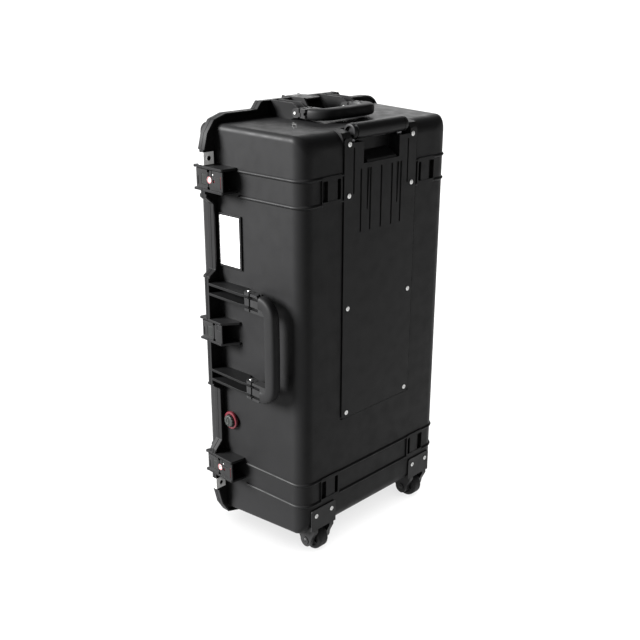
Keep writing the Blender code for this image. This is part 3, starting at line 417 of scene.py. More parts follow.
def body_rings(rim_y, face_y, thickness, steps=12):
    """Rounded-rectangle rings from the rim to a flat face, closing in over the rounded edge."""
    direction, face_half, edge = shell_side(rim_y, face_y)
    radius = edge - thickness
    turn_y = face_y - direction * edge
    levels = [(rim_y, 0, 0)]
    for step in range(steps + 1):
        angle = math.radians(90 * step / steps)
        levels.append((turn_y + direction * radius * math.sin(angle), 1, radius * (1 - math.cos(angle))))
    rings = []
    for y, share, close in levels:
        half = RIM_HALF + (face_half - RIM_HALF) * share - thickness - close
        low = RIM_LOW + (BODY_LOW - RIM_LOW) * share + thickness + close
        high = RIM_HIGH + (BODY_HIGH - RIM_HIGH) * share - thickness - close
        corner = max(CORNER_RADIUS - thickness / 2, 6)
        corner += (BACK_CORNER_RADIUS - corner) * (close / radius)
        rings.append([(a, y, b) for a, b in rounded(-half, half, low, high, corner)])
    return rings


def side_x(y):
    return RIM_HALF - DRAFT * (y - PART_Y)


def ridge(rim_y, face_y, height, right_start):
    """A raised line with a rounded top, round three sides of a shell. It starts on +X at right_start."""
    direction, face_half, edge = shell_side(rim_y, face_y)
    turn_y = face_y - direction * edge
    center_x = face_half - edge

    def edge_x(y):
        share = (y - rim_y) / (turn_y - rim_y)
        return RIM_HALF + (face_half - RIM_HALF) * share

    path = [((edge_x(right_start), right_start), (1, 0))]
    for angle in range(0, 91, 9):
        cosine, sine = math.cos(math.radians(angle)), math.sin(math.radians(angle))
        path.append(((center_x + edge * cosine, turn_y + direction * edge * sine),
                     (cosine, direction * sine)))
    left_start = rim_y + direction * 7
    left = [((-x, y), (-nx, ny)) for (x, y), (nx, ny) in reversed(path[1:])]
    path += left + [((-edge_x(left_start), left_start), (-1, 0))]
    bump_shape = [(-2, -3.6), (0, -3.3), (1.3, -2.3), (2.3, -1.2), (RIDGE_PROUD, 0), (2.3, 1.2), (1.3, 2.3),
                  (0, 3.3), (-2, 3.6)]
    rings = [[(x + nx * out, y + ny * out, height + up) for out, up in bump_shape]
             for (x, y), (nx, ny) in path]
    return skin("ridge", rings)


def pad_slots(face_y):
    """Cutters for the two slots beside each pad."""
    cutters = []
    for low, high in (RIDGE_HEIGHTS[:2], RIDGE_HEIGHTS[2:]):
        for side in (-1, 1):
            for start, end in PAD_SLOTS:
                edges = sorted((side * start, side * end))
                cutters.append(block("slot", (edges[0], face_y - 4.6, low + 4.5),
                                     (edges[1], face_y + 4.6, high - 4.5)))
    return join("slots", cutters)


def pads(face_y):
    """A square pad between the two ridges of each band, in a raised frame, near both edges of the face."""
    direction = 1 if face_y > 0 else -1
    made = []
    for low, high in (RIDGE_HEIGHTS[:2], RIDGE_HEIGHTS[2:]):
        for side in (-1, 1):
            edges = sorted((side * PAD_X[0], side * PAD_X[1]))
            spans = sorted((face_y - direction * 1.5, face_y + direction * 2.6))
            pad = prism("pad", rounded(edges[0] - 2, edges[1] + 2, low - 2.5, high + 2.5, 4, 4), "Y", *spans)
            open_side = sorted((side * (PAD_X[0] + 1.5), side * (PAD_X[1] + 0.8)))
            window = rounded(*open_side, low + 4.5, high - 4.5, 2, 3)
            cut(pad, prism("window", window, "Y", face_y - 5, face_y + 5))
            inner = sorted((side * (PAD_SLOTS[0][1] + 0.5), side * (PAD_SLOTS[1][0] - 0.5)))
            plate = block("plate", (inner[0], spans[0], low + 4), (inner[1], spans[1], high - 4))
            plate.data.transform(Matrix.Translation((0, -direction * 0.7, 0)))
            made += [pad, plate]
    return join("pads", made)


def flange_outline():
    """The outside of the rim flange, seen from the back: plain sides, wide zones for latches and handles."""
    right = [(98, 0), (113.7, FLANGE_LOW), (178, FLANGE_LOW), (204, 27), (218, 50), (ZONE_X, 95),
             (ZONE_X, 172), (FLANGE_X, 188), (FLANGE_X, 294), (ZONE_X, 304), (ZONE_X, 516), (FLANGE_X, 526),
             (FLANGE_X, 645),
             (ZONE_X, 658), (ZONE_X, 742), (222, 768), (206, 789), (180, FLANGE_HIGH), (108.7, FLANGE_HIGH),
             (98, TOP_Z)]
    left = [(-98, TOP_Z), (-108.7, FLANGE_HIGH)]
    left += arc((-178, 761), 36, 90, 180, 8) + arc((-178, 56), 36, 180, 270, 8)
    return right + left + [(-113.7, FLANGE_LOW), (-98, 0)]


def flange(face, direction):
    """A thin web at the rim with a lip round its edge, and a channel between the lip and the wall. The
    channel's dark floor is a separate near-black sheet of painted shade.
    """
    outline = flange_outline()

    def level(depth):
        return face + direction * depth

    ring = prism("flange", outline, "Y", *sorted((face, level(FLANGE_DEPTH))))
    channel = prism("channel", inset(outline, LIP), "Y", *sorted((level(2.8), level(20))))
    hole = prism("hole", rounded(-200.5, 200.5, 36.5, 779.5, 11), "Y", *sorted((level(-2), level(22))))
    thin = []
    for low, high in ((308, 512), (664, 740), (82, 168)):
        spans = sorted((level(ZONE_DEPTH), level(24)))
        thin.append(block("thin", (200, spans[0], low), (240, spans[1], high)))
    spans = sorted((level(ZONE_DEPTH), level(24)))
    thin.append(block("thin", (-94, spans[0], 792), (94, spans[1], 820)))
    cut(ring, channel, hole, join("thin", thin))
    half = TOWER_OFFSET - TOWER_PLATE / 2
    windows = [at_station(block("window", (212, PART_Y - 12, -half), (240, PART_Y + 12, half)), end, along)
               for end, along, _, _ in LATCHES.values()]
    return cut(ring, join("windows", windows))


def tower_plates(on_base):
    """The two plates of each latch tower. The base's run into the case side, the lid's end in a small ear."""
    plates = []
    face = PART_Y + (FACE_GAP if on_base else -FACE_GAP)
    for end, along, _, tip_y in LATCHES.values():
        if on_base:
            outline = [(198, face), (LATCH_OUT, face), (LATCH_OUT, tip_y - 2.5), (LATCH_OUT - 2, tip_y - 0.5),
                       (203, -10), (196, -10)]
        else:
            outline = [(198, -84), (219, -86), (LATCH_OUT - 3, -88.5), (LATCH_OUT + 0.5, -87.5),
                       (LATCH_OUT - 0.8, -81), (LATCH_OUT, face), (198, face)]
        for side in (-1, 1):
            middle = side * TOWER_OFFSET
            spans = (middle - TOWER_PLATE / 2, middle + TOWER_PLATE / 2)
            plates.append(at_station(prism("plate", outline, "Z", *spans), end, along))
    return plates


def fin_offsets(half):
    outer = half - FIN_PLATE / 2 - 5.2
    return (outer, outer - FIN_SPACING)


def handle_fins():
    """The double webs that carry the handle pivots."""
    made = []
    for end, along, half, w, y, _ in HANDLES.values():
        outline = [(195, -60), (ZONE_X, -62), (ZONE_X - 0.5, y - 13), (ZONE_X - 1.5, y - 9.5)]
        outline += arc((w, y), 7.6, 35, 180, 8)
        outline += [(w - 13, y - 16), (195, y - 28)]
        for offset in fin_offsets(half):
            for side in (-1, 1):
                middle = side * offset
                fin = prism("fin", outline, "Z", middle - FIN_PLATE / 2, middle + FIN_PLATE / 2)
                made.append(at_station(fin, end, along))
    return made


def knuckles(on_base):
    """Hinge knuckles with a leg that runs into the shell behind them."""
    direction = 1 if on_base else -1
    spans = []
    for center in HINGE_CENTERS:
        if on_base:
            spans.append((center - KNUCKLE_HALF, center - KNUCKLE_MIDDLE - 0.3))
            spans.append((center + KNUCKLE_MIDDLE + 0.3, center + KNUCKLE_HALF))
        else:
            spans.append((center - KNUCKLE_MIDDLE, center + KNUCKLE_MIDDLE))
    outline = arc((HINGE_X, PART_Y), HINGE_RADIUS, 0, -direction * 180, 16)
    outline += [(HINGE_X - HINGE_RADIUS, PART_Y + direction * 2), (-203, PART_Y + direction * 15),
                (-203, PART_Y + direction * 1.5), (HINGE_X + HINGE_RADIUS, PART_Y + direction * 1.5)]
    made = [prism("knuckle", outline, "Z", low, high) for low, high in spans]
    for center in HINGE_CENTERS:
        for offset in (-30, -12, 12, 30):
            rib = [(-200, PART_Y + direction * 4), (-226, PART_Y + direction * 5),
                   (-203, PART_Y + direction * 26), (-200, PART_Y + direction * 27)]
            made.append(prism("rib", rib, "Z", center + offset - 1.5, center + offset + 1.5))
    return made


def shell_fittings(on_base):
    """The rim furniture of one shell, cleared where the other shell's knuckles pass."""
    face = PART_Y + (FACE_GAP if on_base else -FACE_GAP)
    ring = flange(face, 1 if on_base else -1)
    clear = []
    for center in HINGE_CENTERS:
        if on_base:
            spans = [(center - KNUCKLE_MIDDLE - 0.6, center + KNUCKLE_MIDDLE + 0.6)]
        else:
            spans = [(center - KNUCKLE_HALF - 0.6, center - KNUCKLE_MIDDLE + 0.2),
                     (center + KNUCKLE_MIDDLE - 0.2, center + KNUCKLE_HALF + 0.6)]
        clear += [rod("clear", "Z", (HINGE_X, PART_Y), HINGE_RADIUS + 1, *pair, 24) for pair in spans]
    for which in ("upper", "lower"):
        spot = layout_center("padlock_plate_base_" + which)
        edge = layout_box("padlock_plate_base_" + which)[0].x
        clear.append(rod("hole", "Y", ((edge + ZONE_X) / 2, spot.z), 4.2, -85, -50))
    cut(ring, join("clear", clear))
    return join("fittings", [ring] + tower_plates(on_base) + knuckles(on_base))


def make_shade_liner(name, face, direction, body):
    """A near-black sheet on the floor of the channel behind the rim lip: painted shade, standing for the
    shadow deep in the channel.
    """
    spans = sorted((face + direction * 2.7, face + direction * 3.0))
    shade_sheet = prism(name, inset(flange_outline(), LIP + 0.6), "Y", *spans)
    hole = prism("hole", rounded(-201.5, 201.5, 35.5, 780.5, 11), "Y", spans[0] - 2, spans[1] + 2)
    half = TOWER_OFFSET + TOWER_PLATE / 2
    gaps = [at_station(block("gap", (205, PART_Y - 12, -half), (240, PART_Y + 12, half)), end, along)
            for end, along, _, _ in LATCHES.values()]
    piece(cut(shade_sheet, hole, *gaps), body, CHANNEL_SHADE, bevel=0)


def make_base():
    face = PART_Y + FACE_GAP
    tub = skin("base_tub", body_rings(face, BACK_Y, 0))
    cavity = skin("cavity", body_rings(face - 1, BACK_Y, WALL))
    hump = block("hump", (-NOTCH_HALF - WALL, CHANNEL_Y - WALL, CHANNEL_LOW - WALL),
                 (NOTCH_HALF + WALL, BACK_Y, RIM_HIGH))
    roofs = [block("roof", (side * WHEEL_X - 37, 79, 40), (side * WHEEL_X + 37, BACK_Y, 67))
             for side in (-1, 1)]
    cut(cavity, hump, join("roofs", roofs))
    housing_side = [(106, 735), (BACK_Y + 0.3, 735), (BACK_Y + 0.3, 768), (BACK_Y - 4, 775.5), (116, 778.6),
                    (106, 778.6)]
    unite(tub, prism("housing", housing_side, "X", -COVER_HALF - 3, COVER_HALF + 3))
    cut(tub, cavity)
    channel = block("channel", (-CHANNEL_HALF, CHANNEL_Y, CHANNEL_LOW), (CHANNEL_HALF, 150, 800))
    seat = block("seat", (-COVER_HALF - 3.2, BACK_Y - 1.6, COVER_LOW - 2.2),
                 (COVER_HALF + 1.1, 150, COVER_HIGH + 0.5))
    notch = prism("notch", rounded(110, 160, NOTCH_LOW, 810, 3, 3), "X", -NOTCH_HALF, NOTCH_HALF)
    wells = join("wells", [block("well", (side * WHEEL_X - 32, 84, 0), (side * WHEEL_X + 32, 150, 62))
                           for side in (-1, 1)])
    cut(tub, channel, seat, notch, wells, pad_slots(BACK_Y))
    piece(tub, "base", SHELL, ["base_shell"], bevel=0.9)
    ridges = join("base_ridges", [ridge(face, BACK_Y, height, -7) for height in RIDGE_HEIGHTS])
    seat_cut = block("seat", (-COVER_HALF - 0.5, 120, COVER_LOW), (COVER_HALF + 0.5, 150, 800))
    cut(ridges, seat_cut)
    piece(ridges, "base", SHELL, bevel=0, smooth=70)
    piece(pads(BACK_Y), "base", SHELL, bevel=0.7).name = "base_pads"
    fittings = piece(shell_fittings(True), "base", SHELL, bevel=0.7)
    fittings.name = "base_rim_fittings"
    # The webs take the darker copy of the shell plastic: painted shade.
    piece(join("base_handle_webs", handle_fins()), "base", SHADED_WEB, bevel=0.5)
    # A near-black sheet in the rim channel: painted shade.
    make_shade_liner("base_shade_liner", face, 1, "base")


def make_lid():
    face = PART_Y - FACE_GAP
    tub = skin("lid_tub", body_rings(face, FRONT_Y, 0))
    cut(tub, skin("cavity", body_rings(face + 1, FRONT_Y, WALL)), pad_slots(FRONT_Y))
    piece(tub, "lid", SHELL, ["lid_shell"], bevel=0.9)
    ridges = join("lid_ridges", [ridge(face, FRONT_Y, height, face - 7) for height in RIDGE_HEIGHTS])
    piece(ridges, "lid", SHELL, bevel=0, smooth=70)
    piece(pads(FRONT_Y), "lid", SHELL, bevel=0.7).name = "lid_pads"
    fittings = piece(shell_fittings(False), "lid", SHELL, bevel=0.7)
    fittings.name = "lid_rim_fittings"
    # A near-black sheet in the rim channel: painted shade.
    make_shade_liner("lid_shade_liner", face, -1, "lid")


# ---------------------------------------------------------------- latches

def make_latch(name, end, along, locked, tip_y):
    """A lever with a push bar and a cross groove. The locking ones add a key cylinder and an indicator."""
    body = "latch_" + name
    x, y = LATCH_AXIS
    out, end_y, inner, half = LATCH_OUT, y - 9, x - 7.5, 16.6
    button_y, key_y = -61.0, -46.0
    outline = [(out - 1, tip_y), (out, tip_y - 3), (out, end_y + 3.5), (out - 1.2, end_y + 1)]
    outline += [(out - 3.4, end_y), (x + 2, end_y)] + arc(LATCH_AXIS, 7.2, 255, 150, 10)
    outline += [(inner, y + 7), (inner, -50), (inner + 8, -44), (out - 5.5, tip_y - 3), (out - 3.5, tip_y)]
    lever = prism("lever", outline, "Z", -half, half)
    groove_y = key_y - 2.5
    tools = [block("pocket", (out - 7.4, button_y - 6.3, -9.3), (240, button_y + 6.3, 9.3)),
             block("groove", (out - 1.4, groove_y - 1, -20), (240, groove_y + 1, 20))]
    tools += [block("notch", (out - 5, groove_y - 3.2, side * half - 4),
                    (240, groove_y + 3.2, side * half + 4))
              for side in (-1, 1)]
    tools.append(block("slot", (out - 1.6, end_y + 6, -11), (240, end_y + 8, 4)))
    tools.append(block("step", (out - 0.7, groove_y + 8, 6), (240, tip_y + 2, 20)))
    window_y = max(-35.0, tip_y - 22)
    if locked:
        tools.append(rod("keyway", "X", (key_y, 0), 5.0, out - 3.8, 240))
        tools.append(rod("window", "X", (window_y, -1), 2.8, out - 2.4, 240, 20))
        tools.append(block("edge", (out - 0.8, tip_y - 5, -12), (240, tip_y - 3.4, 10)))
    cut(lever, *tools)
    piece(at_station(lever, end, along), body, LATCH, [body], bevel=0.45)
    button = block("button", (out - 5, button_y - 6, -9), (out - 0.2, button_y + 6, 9))
    ribs = [block("rib", (out - 0.6, button_y - 4.5 + 2.4 * index, -7.5),
                  (out - 0.05, button_y - 3.3 + 2.4 * index, 7.5))
            for index in range(4)]
    button = join("latch_button_" + name, [button] + ribs)
    piece(at_station(button, end, along), "button_" + name, LATCH_FACE,
          ["latch_button_" + name], bevel=0.4)
    if not locked:
        return
    face = out - 0.1
    profile = [(out - 3.5, 0), (out - 3.5, 4.6), (face - 0.5, 4.6), (face, 4.2), (face, 3.3),
               (face - 0.3, 3.1), (face - 0.3, 0)]
    key = turned("key_cylinder_" + name, profile, "X", (key_y, 0))
    cut(key, block("slot", (out - 1.5, key_y - 0.5, -2.3), (240, key_y + 0.5, 2.3)))
    piece(at_station(key, end, along), "key_" + name, STEEL, ["key_cylinder_" + name],
          0.15)
    profile = [(out - 1.2, 4.9), (out - 1.2, 6.0), (out + 0.3, 5.8), (out + 0.3, 5.0)]
    collar = turned("key_collar_" + name, profile, "X", (key_y, 0), closed=True)
    piece(at_station(collar, end, along), body, LOCK_PINK, bevel=0)
    profile = [(out - 2.5, 0), (out - 2.5, 2.7), (out - 1.9, 2.5), (out - 1.7, 0)]
    window = turned("lock_indicator_" + name, profile, "X", (window_y, -1), 20)
    piece(at_station(window, end, along), body, DARK_RED, bevel=0)
    stripe = block("latch_stripe_" + name, (out - 1.0, tip_y - 4.9, -11), (out - 0.5, tip_y - 3.5, 9))
    piece(at_station(stripe, end, along), body, DARK_RED, bevel=0.1)
    profile = [(out - 0.8, 0), (out - 0.8, 1.2), (out - 0.4, 1.0), (out - 0.3, 0)]
    mark = turned("latch_mark_" + name, profile, "X", (key_y + 9, 10), 16)
    piece(at_station(mark, end, along), body, MARK, bevel=0)


# ---------------------------------------------------------------- handles

def handle_arm(side, half, w, y, arm_end):
    """One end of a handle frame: three knuckles round the pin, then a solid arm with slots for the fins."""
    outer, inner = fin_offsets(half)
    room = FIN_PLATE / 2 + 0.5
    prongs = [(half - ARM_WIDTH, inner - room), (inner + room, outer - room), (outer + room, half)]
    outline = arc((w, y), 8.2, 12, -192, 14)
    outline += [(w - 8.0, y + 6), (w - 5.5, y + 9), (w - 5.5, y + 14), (w + 1, y + 14), (w + 1, y + 9.5),
                (w + 8.2, y + 8.5)]
    made = [prism("prong", outline, "Z", *sorted((side * low, side * high))) for low, high in prongs]
    low, high = sorted((side * (half - ARM_WIDTH), side * half))
    slant = 15
    near, far = side * half, side * (half - ARM_WIDTH)
    outline = [(y + 12, near), (arm_end - slant * 0.4, near), (arm_end + slant, far), (y + 12, far)]
    arm = prism("arm", outline, "X", w - 7.4, w + 8.2)
    tools = []
    for offset in (outer, inner):
        middle = side * offset
        tools.append(block("slot", (w - 1, y + 5, middle - room), (w + 20, arm_end - 3, middle + room)))
    middle = side * (outer + inner) / 2
    spans = sorted((near - side * 5, near + side * 2))
    tools.append(block("socket", (w - 2.5, arm_end - 9, spans[0]), (w + 2.5, arm_end - 4, spans[1])))
    return made + [cut(arm, *tools)]


def handle_grip(half, w, bar):
    """A rubber grip swept round both corners and along the bar, thicker than the frame."""
    arm_s = half - 12.6
    middle_y = bar - 9.0
    corner = GRIP_CORNER
    sizes = (12.4, 12.8)
    path = []
    for angle in range(0, 91, 10):
        a = math.radians(angle)
        spot = (middle_y - corner + corner * math.sin(a), -arm_s + corner - corner * math.cos(a))
        path.append((spot, sizes[0] + (sizes[1] - sizes[0]) * angle / 90))
    half_way = len(path)
    for share in (0.2, 0.35, 0.5, 0.65, 0.8):
        bulge = 0.5 * math.sin(math.pi * share)
        path.append(((middle_y + bulge, (arm_s - corner) * (2 * share - 1)), sizes[1] + bulge))
    path += [((spot[0], -spot[1]), size) for spot, size in reversed(path[:half_way])]
    rings = []
    for index, ((py, ps), size) in enumerate(path):
        before = Vector(path[max(index - 1, 0)][0])
        after = Vector(path[min(index + 1, len(path) - 1)][0])
        along = (after - before).normalized()
        outward = Vector((along.y, -along.x))
        ring = []
        for step in range(32):
            a = 2 * math.pi * step / 32
            cosine, sine = math.cos(a), math.sin(a)
            u = math.copysign(abs(cosine) ** 0.62, cosine) * size
            v = math.copysign(abs(sine) ** 0.62, sine) * 10.2
            ring.append((w + v, py + outward.x * u, ps + outward.y * u))
        rings.append(ring)
    return skin("grip", rings)


def make_handle(name, end, along, half, w, y, reach):
    body = "handle_" + name
    bar = y + reach + 3
    arm_end = bar - 9.0 - GRIP_CORNER + 2
    arms = handle_arm(-1, half, w, y, arm_end) + handle_arm(1, half, w, y, arm_end)
    frame_piece = join("handle_frame_" + name, arms)
    piece(at_station(frame_piece, end, along), body, FRAME_PLASTIC,
          ["handle_frame_" + name], 0.8)
    grip = handle_grip(half, w, bar)
    grip.name = "handle_grip_" + name
    piece(at_station(grip, end, along), body, GRIP, ["handle_grip_" + name], 0.8, smooth=50)
    for side, word in ((-1, "a"), (1, "b")):
        low, high = side * (half - ARM_WIDTH - 1.5), side * (half + 1.5)
        tip = side * 0.8
        profile = [(low, 0), (low, 2), (low + tip, 2.5), (high - tip, 2.5), (high - tip, 2.8), (high, 2.4),
                   (high, 0)]
        pin = turned("handle_pin_" + name + "_" + word, profile, "Z", (w, y), 24)
        piece(at_station(pin, end, along), "base", STEEL, [pin.name.split(".")[0]], 0)


# ---------------------------------------------------------------- rest of the metal and plastic

def make_padlock_plates():
    for which in ("upper", "lower"):
        for shell, direction, body in (("base", 1, "base"), ("lid", -1, "lid")):
            node = "padlock_plate_%s_%s" % (shell, which)
            low, high = layout_box(node)
            near, far = (high.y - 1.3, high.y) if direction > 0 else (low.y + 1.3, low.y)
            edge = high.x
            start = PART_Y + direction * 0.4
            outline = [(low.x, near), (edge - 1.3, near), (edge - 1.3, start), (edge, start),
                       (edge, far - direction), (edge - 1, far), (low.x, far)]
            plate = prism(node, outline, "Z", low.z, high.z)
            spot = ((low.x + ZONE_X) / 2, (low.z + high.z) / 2)
            rim_y = far + direction * 0.7
            rim = turned("rim", [(near, 4.3), (near, 6.2), (rim_y, 5.8), (rim_y, 4.3)], "Y", spot, 28,
                         closed=True)
            cut(plate, rod("hole", "Y", spot, 4.3, -90, -45, 28))
            plate = join(node, [plate, rim])
            piece(plate, body, PLATE_STEEL, [node], 0.25)


def screw_mesh(name, center, face_y, top_y, radius):
    profile = [(face_y - 4, 0), (face_y - 4, 1.8), (face_y, 1.8), (face_y, radius), (face_y + 0.5, radius),
               (top_y - 0.3, radius * 0.8), (top_y, radius * 0.45), (top_y, 0)]
    head = turned(name, profile, "Y", center, 28)
    x, z = center
    cross = [block("cross", (x - a, top_y - 0.8, z - b), (x + a, top_y + 1, z + b))
             for a, b in ((0.55, 2.3), (2.3, 0.55))]
    return cut(head, *cross)


def make_screws():
    names = ["cover_screw_%d" % index for index in range(1, 9)]
    names += ["bracket_screw_%d" % index for index in range(1, 5)]
    for name in names:
        low, high = layout_box(name)
        spot = ((low.x + high.x) / 2, (low.z + high.z) / 2)
        screw = screw_mesh(name, spot, COVER_Y[1] + 0.3, high.y, (high.x - low.x) / 2)
        piece(screw, "base", STEEL, [name], 0)


def make_hinge_pins():
    for index in (1, 2):
        low, high = layout_box("hinge_pin_%d" % index)
        radius = (high.x - low.x) / 2
        profile = [(low.z, 0), (low.z, radius * 0.7), (low.z + 0.8, radius), (high.z - 0.8, radius),
                   (high.z, radius * 0.7), (high.z, 0)]
        pin = turned("hinge_pin_%d" % index, profile, "Z", (HINGE_X, PART_Y), 24)
        piece(pin, "base", STEEL, ["hinge_pin_%d" % index], 0)


def make_trolley():
    for word in ("left", "right"):
        for node, body, wall in (("trolley_sleeve_", "base", 1.5),
                                 ("trolley_middle_tube_", "trolley_middle", 1.7),
                                 ("trolley_inner_tube_", "trolley_inner", 2.0)):
            low, high = layout_box(node + word)
            radius = (high.x - low.x) / 2
            spot = ((low.x + high.x) / 2, (low.y + high.y) / 2)
            profile = [(low.z, radius - wall), (low.z, radius - 0.3), (low.z + 0.3, radius),
                       (high.z - 0.3, radius), (high.z, radius - 0.3), (high.z, radius - wall)]
            tube = turned(node + word, profile, "Z", spot, 36, closed=True)
            piece(tube, body, ALUMINIUM, [node + word], 0)
    low, high = layout_box("trolley_grip")
    y, z = (low.y + high.y) / 2, (low.z + high.z) / 2
    half, radius = high.x, (high.z - low.z) / 2
    profile = [(-half + 5, 0), (-half + 5, 8.2), (-half, 9.2), (-half, radius - 1.6),
               (-half + 0.6, radius - 0.5), (-half + 1.8, radius)]
    profile += [(-x, r) for x, r in reversed(profile)]
    grip = turned("trolley_grip", profile, "X", (y, z), 56)
    grooves = []
    for x in (-half + 9, half - 9):
        seam = [(x - 0.4, radius - 0.6), (x - 0.4, radius + 1), (x + 0.4, radius + 1),
                (x + 0.4, radius - 0.6)]
        grooves.append(turned("seam", seam, "X", (y, z), 56, closed=True))
    cut(grip, block("pocket", (-20.3, y - 6.3, z - 20), (20.3, y + 6.3, z - 1.5)), *grooves)
    piece(grip, "trolley_inner", COVER, ["trolley_grip"], bevel=0.3)
    low, high = layout_box("trolley_button")
    button = prism("trolley_button", rounded(low.x, high.x, low.y, high.y, 4, 5), "Z", low.z, high.z)
    piece(button, "trolley_release", LATCH, ["trolley_button"], 0.8)


def make_cover():
    """The trolley cover plate: finger well with a sloped ledge, five long grooves, raised screw strips."""
    near, far = COVER_Y
    outline = rounded(-COVER_HALF, COVER_HALF, COVER_LOW, COVER_HIGH, 6, 5)
    plate = prism("trolley_cover", outline, "Y", near, far)
    well_half, well_low, well_high, floor = 46.0, 717.0, 758.0, 115.1
    pan = block("pan", (-well_half - 2.6, 112.5, well_low - 2.6), (well_half + 2.6, near + 1, well_high))
    unite(plate, pan)
    tools = [block("well", (-well_half, floor, well_low + 4), (well_half, 150, well_high + 20)),
             block("notch", (-NOTCH_HALF, 100, well_high), (NOTCH_HALF, 150, 800))]
    grooves = []
    for x in (-52.0, -28.0, 0.0, 28.0, 52.0):
        outline = [(x - 1.7, 603), (x + 1.7, 603), (x + 2.1, 712), (x - 2.1, 712)]
        grooves.append(prism("groove", outline, "Y", far - 2, 150))
    for x in (-43.0, 35.0):
        outline = [(x - 1, 640), (x + 1, 640), (x + 3.4, 712), (x - 3.4, 712)]
        grooves.append(prism("wedge", outline, "Y", far - 2, 150))
    for x in (-70.0, 70.0):
        grooves.append(block("strip", (x - 1.6, far - 2, 672), (x + 1.6, 150, 750)))
    tools.append(join("grooves", grooves))
    cut(plate, *tools)
    ledge = [(floor, well_low), (far - 1.2, well_low + 4), (far - 2, well_low + 8),
             (floor + 3, well_low + 20), (floor, well_low + 20)]
    unite(plate, prism("ledge", ledge, "X", -well_half + 6, well_half - 10))
    piece(plate, "base", COVER, ["trolley_cover"], bevel=0.4)


def make_wheels():
    for word in ("left", "right"):
        x, y, z = layout_center("wheel_" + word)
        low, high = layout_box("wheel_" + word)
        half, radius = (high.x - low.x) / 2, (high.z - low.z) / 2
        profile = [(half - 2, 4.3), (half, 5), (half, 8.6), (half - 2.8, 9.4), (half - 2.8, 15.5),
                   (half - 0.4, 16.4), (half, 17), (half, radius - 3.6), (half - 0.9, radius - 1.5),
                   (half - 2.6, radius - 0.4),
                   (half - 4.4, radius), (half - 5, radius - 0.5), (half - 5.6, radius)]
        profile += [(-a, r) for a, r in reversed(profile)]
        wheel = turned("wheel_" + word, [(x + a, r) for a, r in profile], "X", (y, z), 64, closed=True)
        spokes = []
        for turn in range(6):
            spoke = block("spoke", (x - half + 0.8, -1.3, 8), (x + half - 0.8, 1.3, 17))
            turned_by = Matrix.Rotation(math.radians(60 * turn), 4, "X")
            spoke.data.transform(Matrix.Translation((0, y, z)) @ turned_by)
            spokes.append(spoke)
        wheel = join("wheel_" + word, [wheel] + spokes)
        piece(wheel, "wheel_" + word, WHEEL, ["wheel_" + word], 0.3)
        axle_low, axle_high = layout_box("wheel_axle_" + word)
        profile = [(axle_low.x, 0), (axle_low.x, 2.6), (axle_low.x + 0.8, 4), (axle_high.x - 0.8, 4),
                   (axle_high.x, 2.6), (axle_high.x, 0)]
        piece(turned("wheel_axle_" + word, profile, "X", (y, z), 28), "base", AXLE_STEEL,
              ["wheel_axle_" + word], 0)
        make_bracket(word, x, y, z)


def make_bracket(word, x, y, z):
    """A moulded wheel bracket: roof, plain back plate, two rounded cheeks with bosses, and a bore for the
    axle.
    """
    low, high = layout_box("wheel_bracket_" + word)
    roof = block("bracket", (low.x, low.y, 53), (high.x, COVER_Y[1], 61.5))
    plate = prism("plate", rounded(low.x, high.x, 55, high.z, 5, 5), "Y", COVER_Y[0], COVER_Y[1])
    cheek = [(low.y, 56), (y - 13.5, z + 2)] + arc((y, z), 13, 195, 345, 12)
    cheek += [(y + 14.5, z + 6), (COVER_Y[1], 47), (COVER_Y[1], 56)]
    cheeks = [prism("cheek", cheek, "X", x + a, x + b) for a, b in ((-26, -15), (15, 26))]
    bosses = [rod("boss", "X", (y, z), 8, x + a, x + b) for a, b in ((-27.5, -15), (15, 27.5))]
    bore = rod("bore", "X", (y, z), 4.3, x - 40, x + 40, 28)
    unite(roof, plate, *cheeks, *bosses)
    hollows = [block("hollow", (x + a, low.y + 4, 40), (x + b, y + 8, 52))
               for a, b in ((-23.5, -17.5), (17.5, 23.5))]
    cut(roof, bore, *hollows)
    roof.name = "wheel_bracket_" + word
    piece(roof, "base", FRAME_PLASTIC, ["wheel_bracket_" + word], 0.8)


def side_strip(name, near, far, y_range, z_range):
    """A strip that follows the slope of the case side, between two distances out from it."""
    low, high = y_range
    outline = [(side_x(low) + near, low), (side_x(low) + far, low), (side_x(high) + far, high),
               (side_x(high) + near, high)]
    return prism(name, outline, "Z", z_range[0], z_range[1])


def make_card():
    low, high = layout_box("id_card")
    y, top_y, z, top_z = low.y, high.y, low.z, high.z
    holder_low, holder_high = layout_box("card_holder")
    holder = side_strip("card_holder", 0.3, 3.4, (holder_low.y, holder_high.y), (holder_low.z, holder_high.z))
    tray = side_strip("tray", 1.4, 6, (y - 0.3, top_y + 0.3), (z - 0.3, top_z + 0.3))
    thumb = side_strip("thumb", 2.2, 6, (top_y - 1, top_y + 2.8), (z + 12, top_z - 12))
    cut(holder, tray, thumb)
    piece(holder, "base", COVER, ["card_holder"], 0.5)
    card = side_strip("id_card", 1.8, 2.8, (y, top_y), (z, top_z))
    line = side_strip("line", 2.7, 4, (y + 17, y + 33), (z + 24, z + 32))
    hollow = side_strip("hollow", 2.6, 4.2, (y + 17.8, y + 32.2), (z + 24.8, z + 31.2))
    cut(card, cut(line, hollow))
    piece(card, "base", CARD, ["id_card"], 0.15)


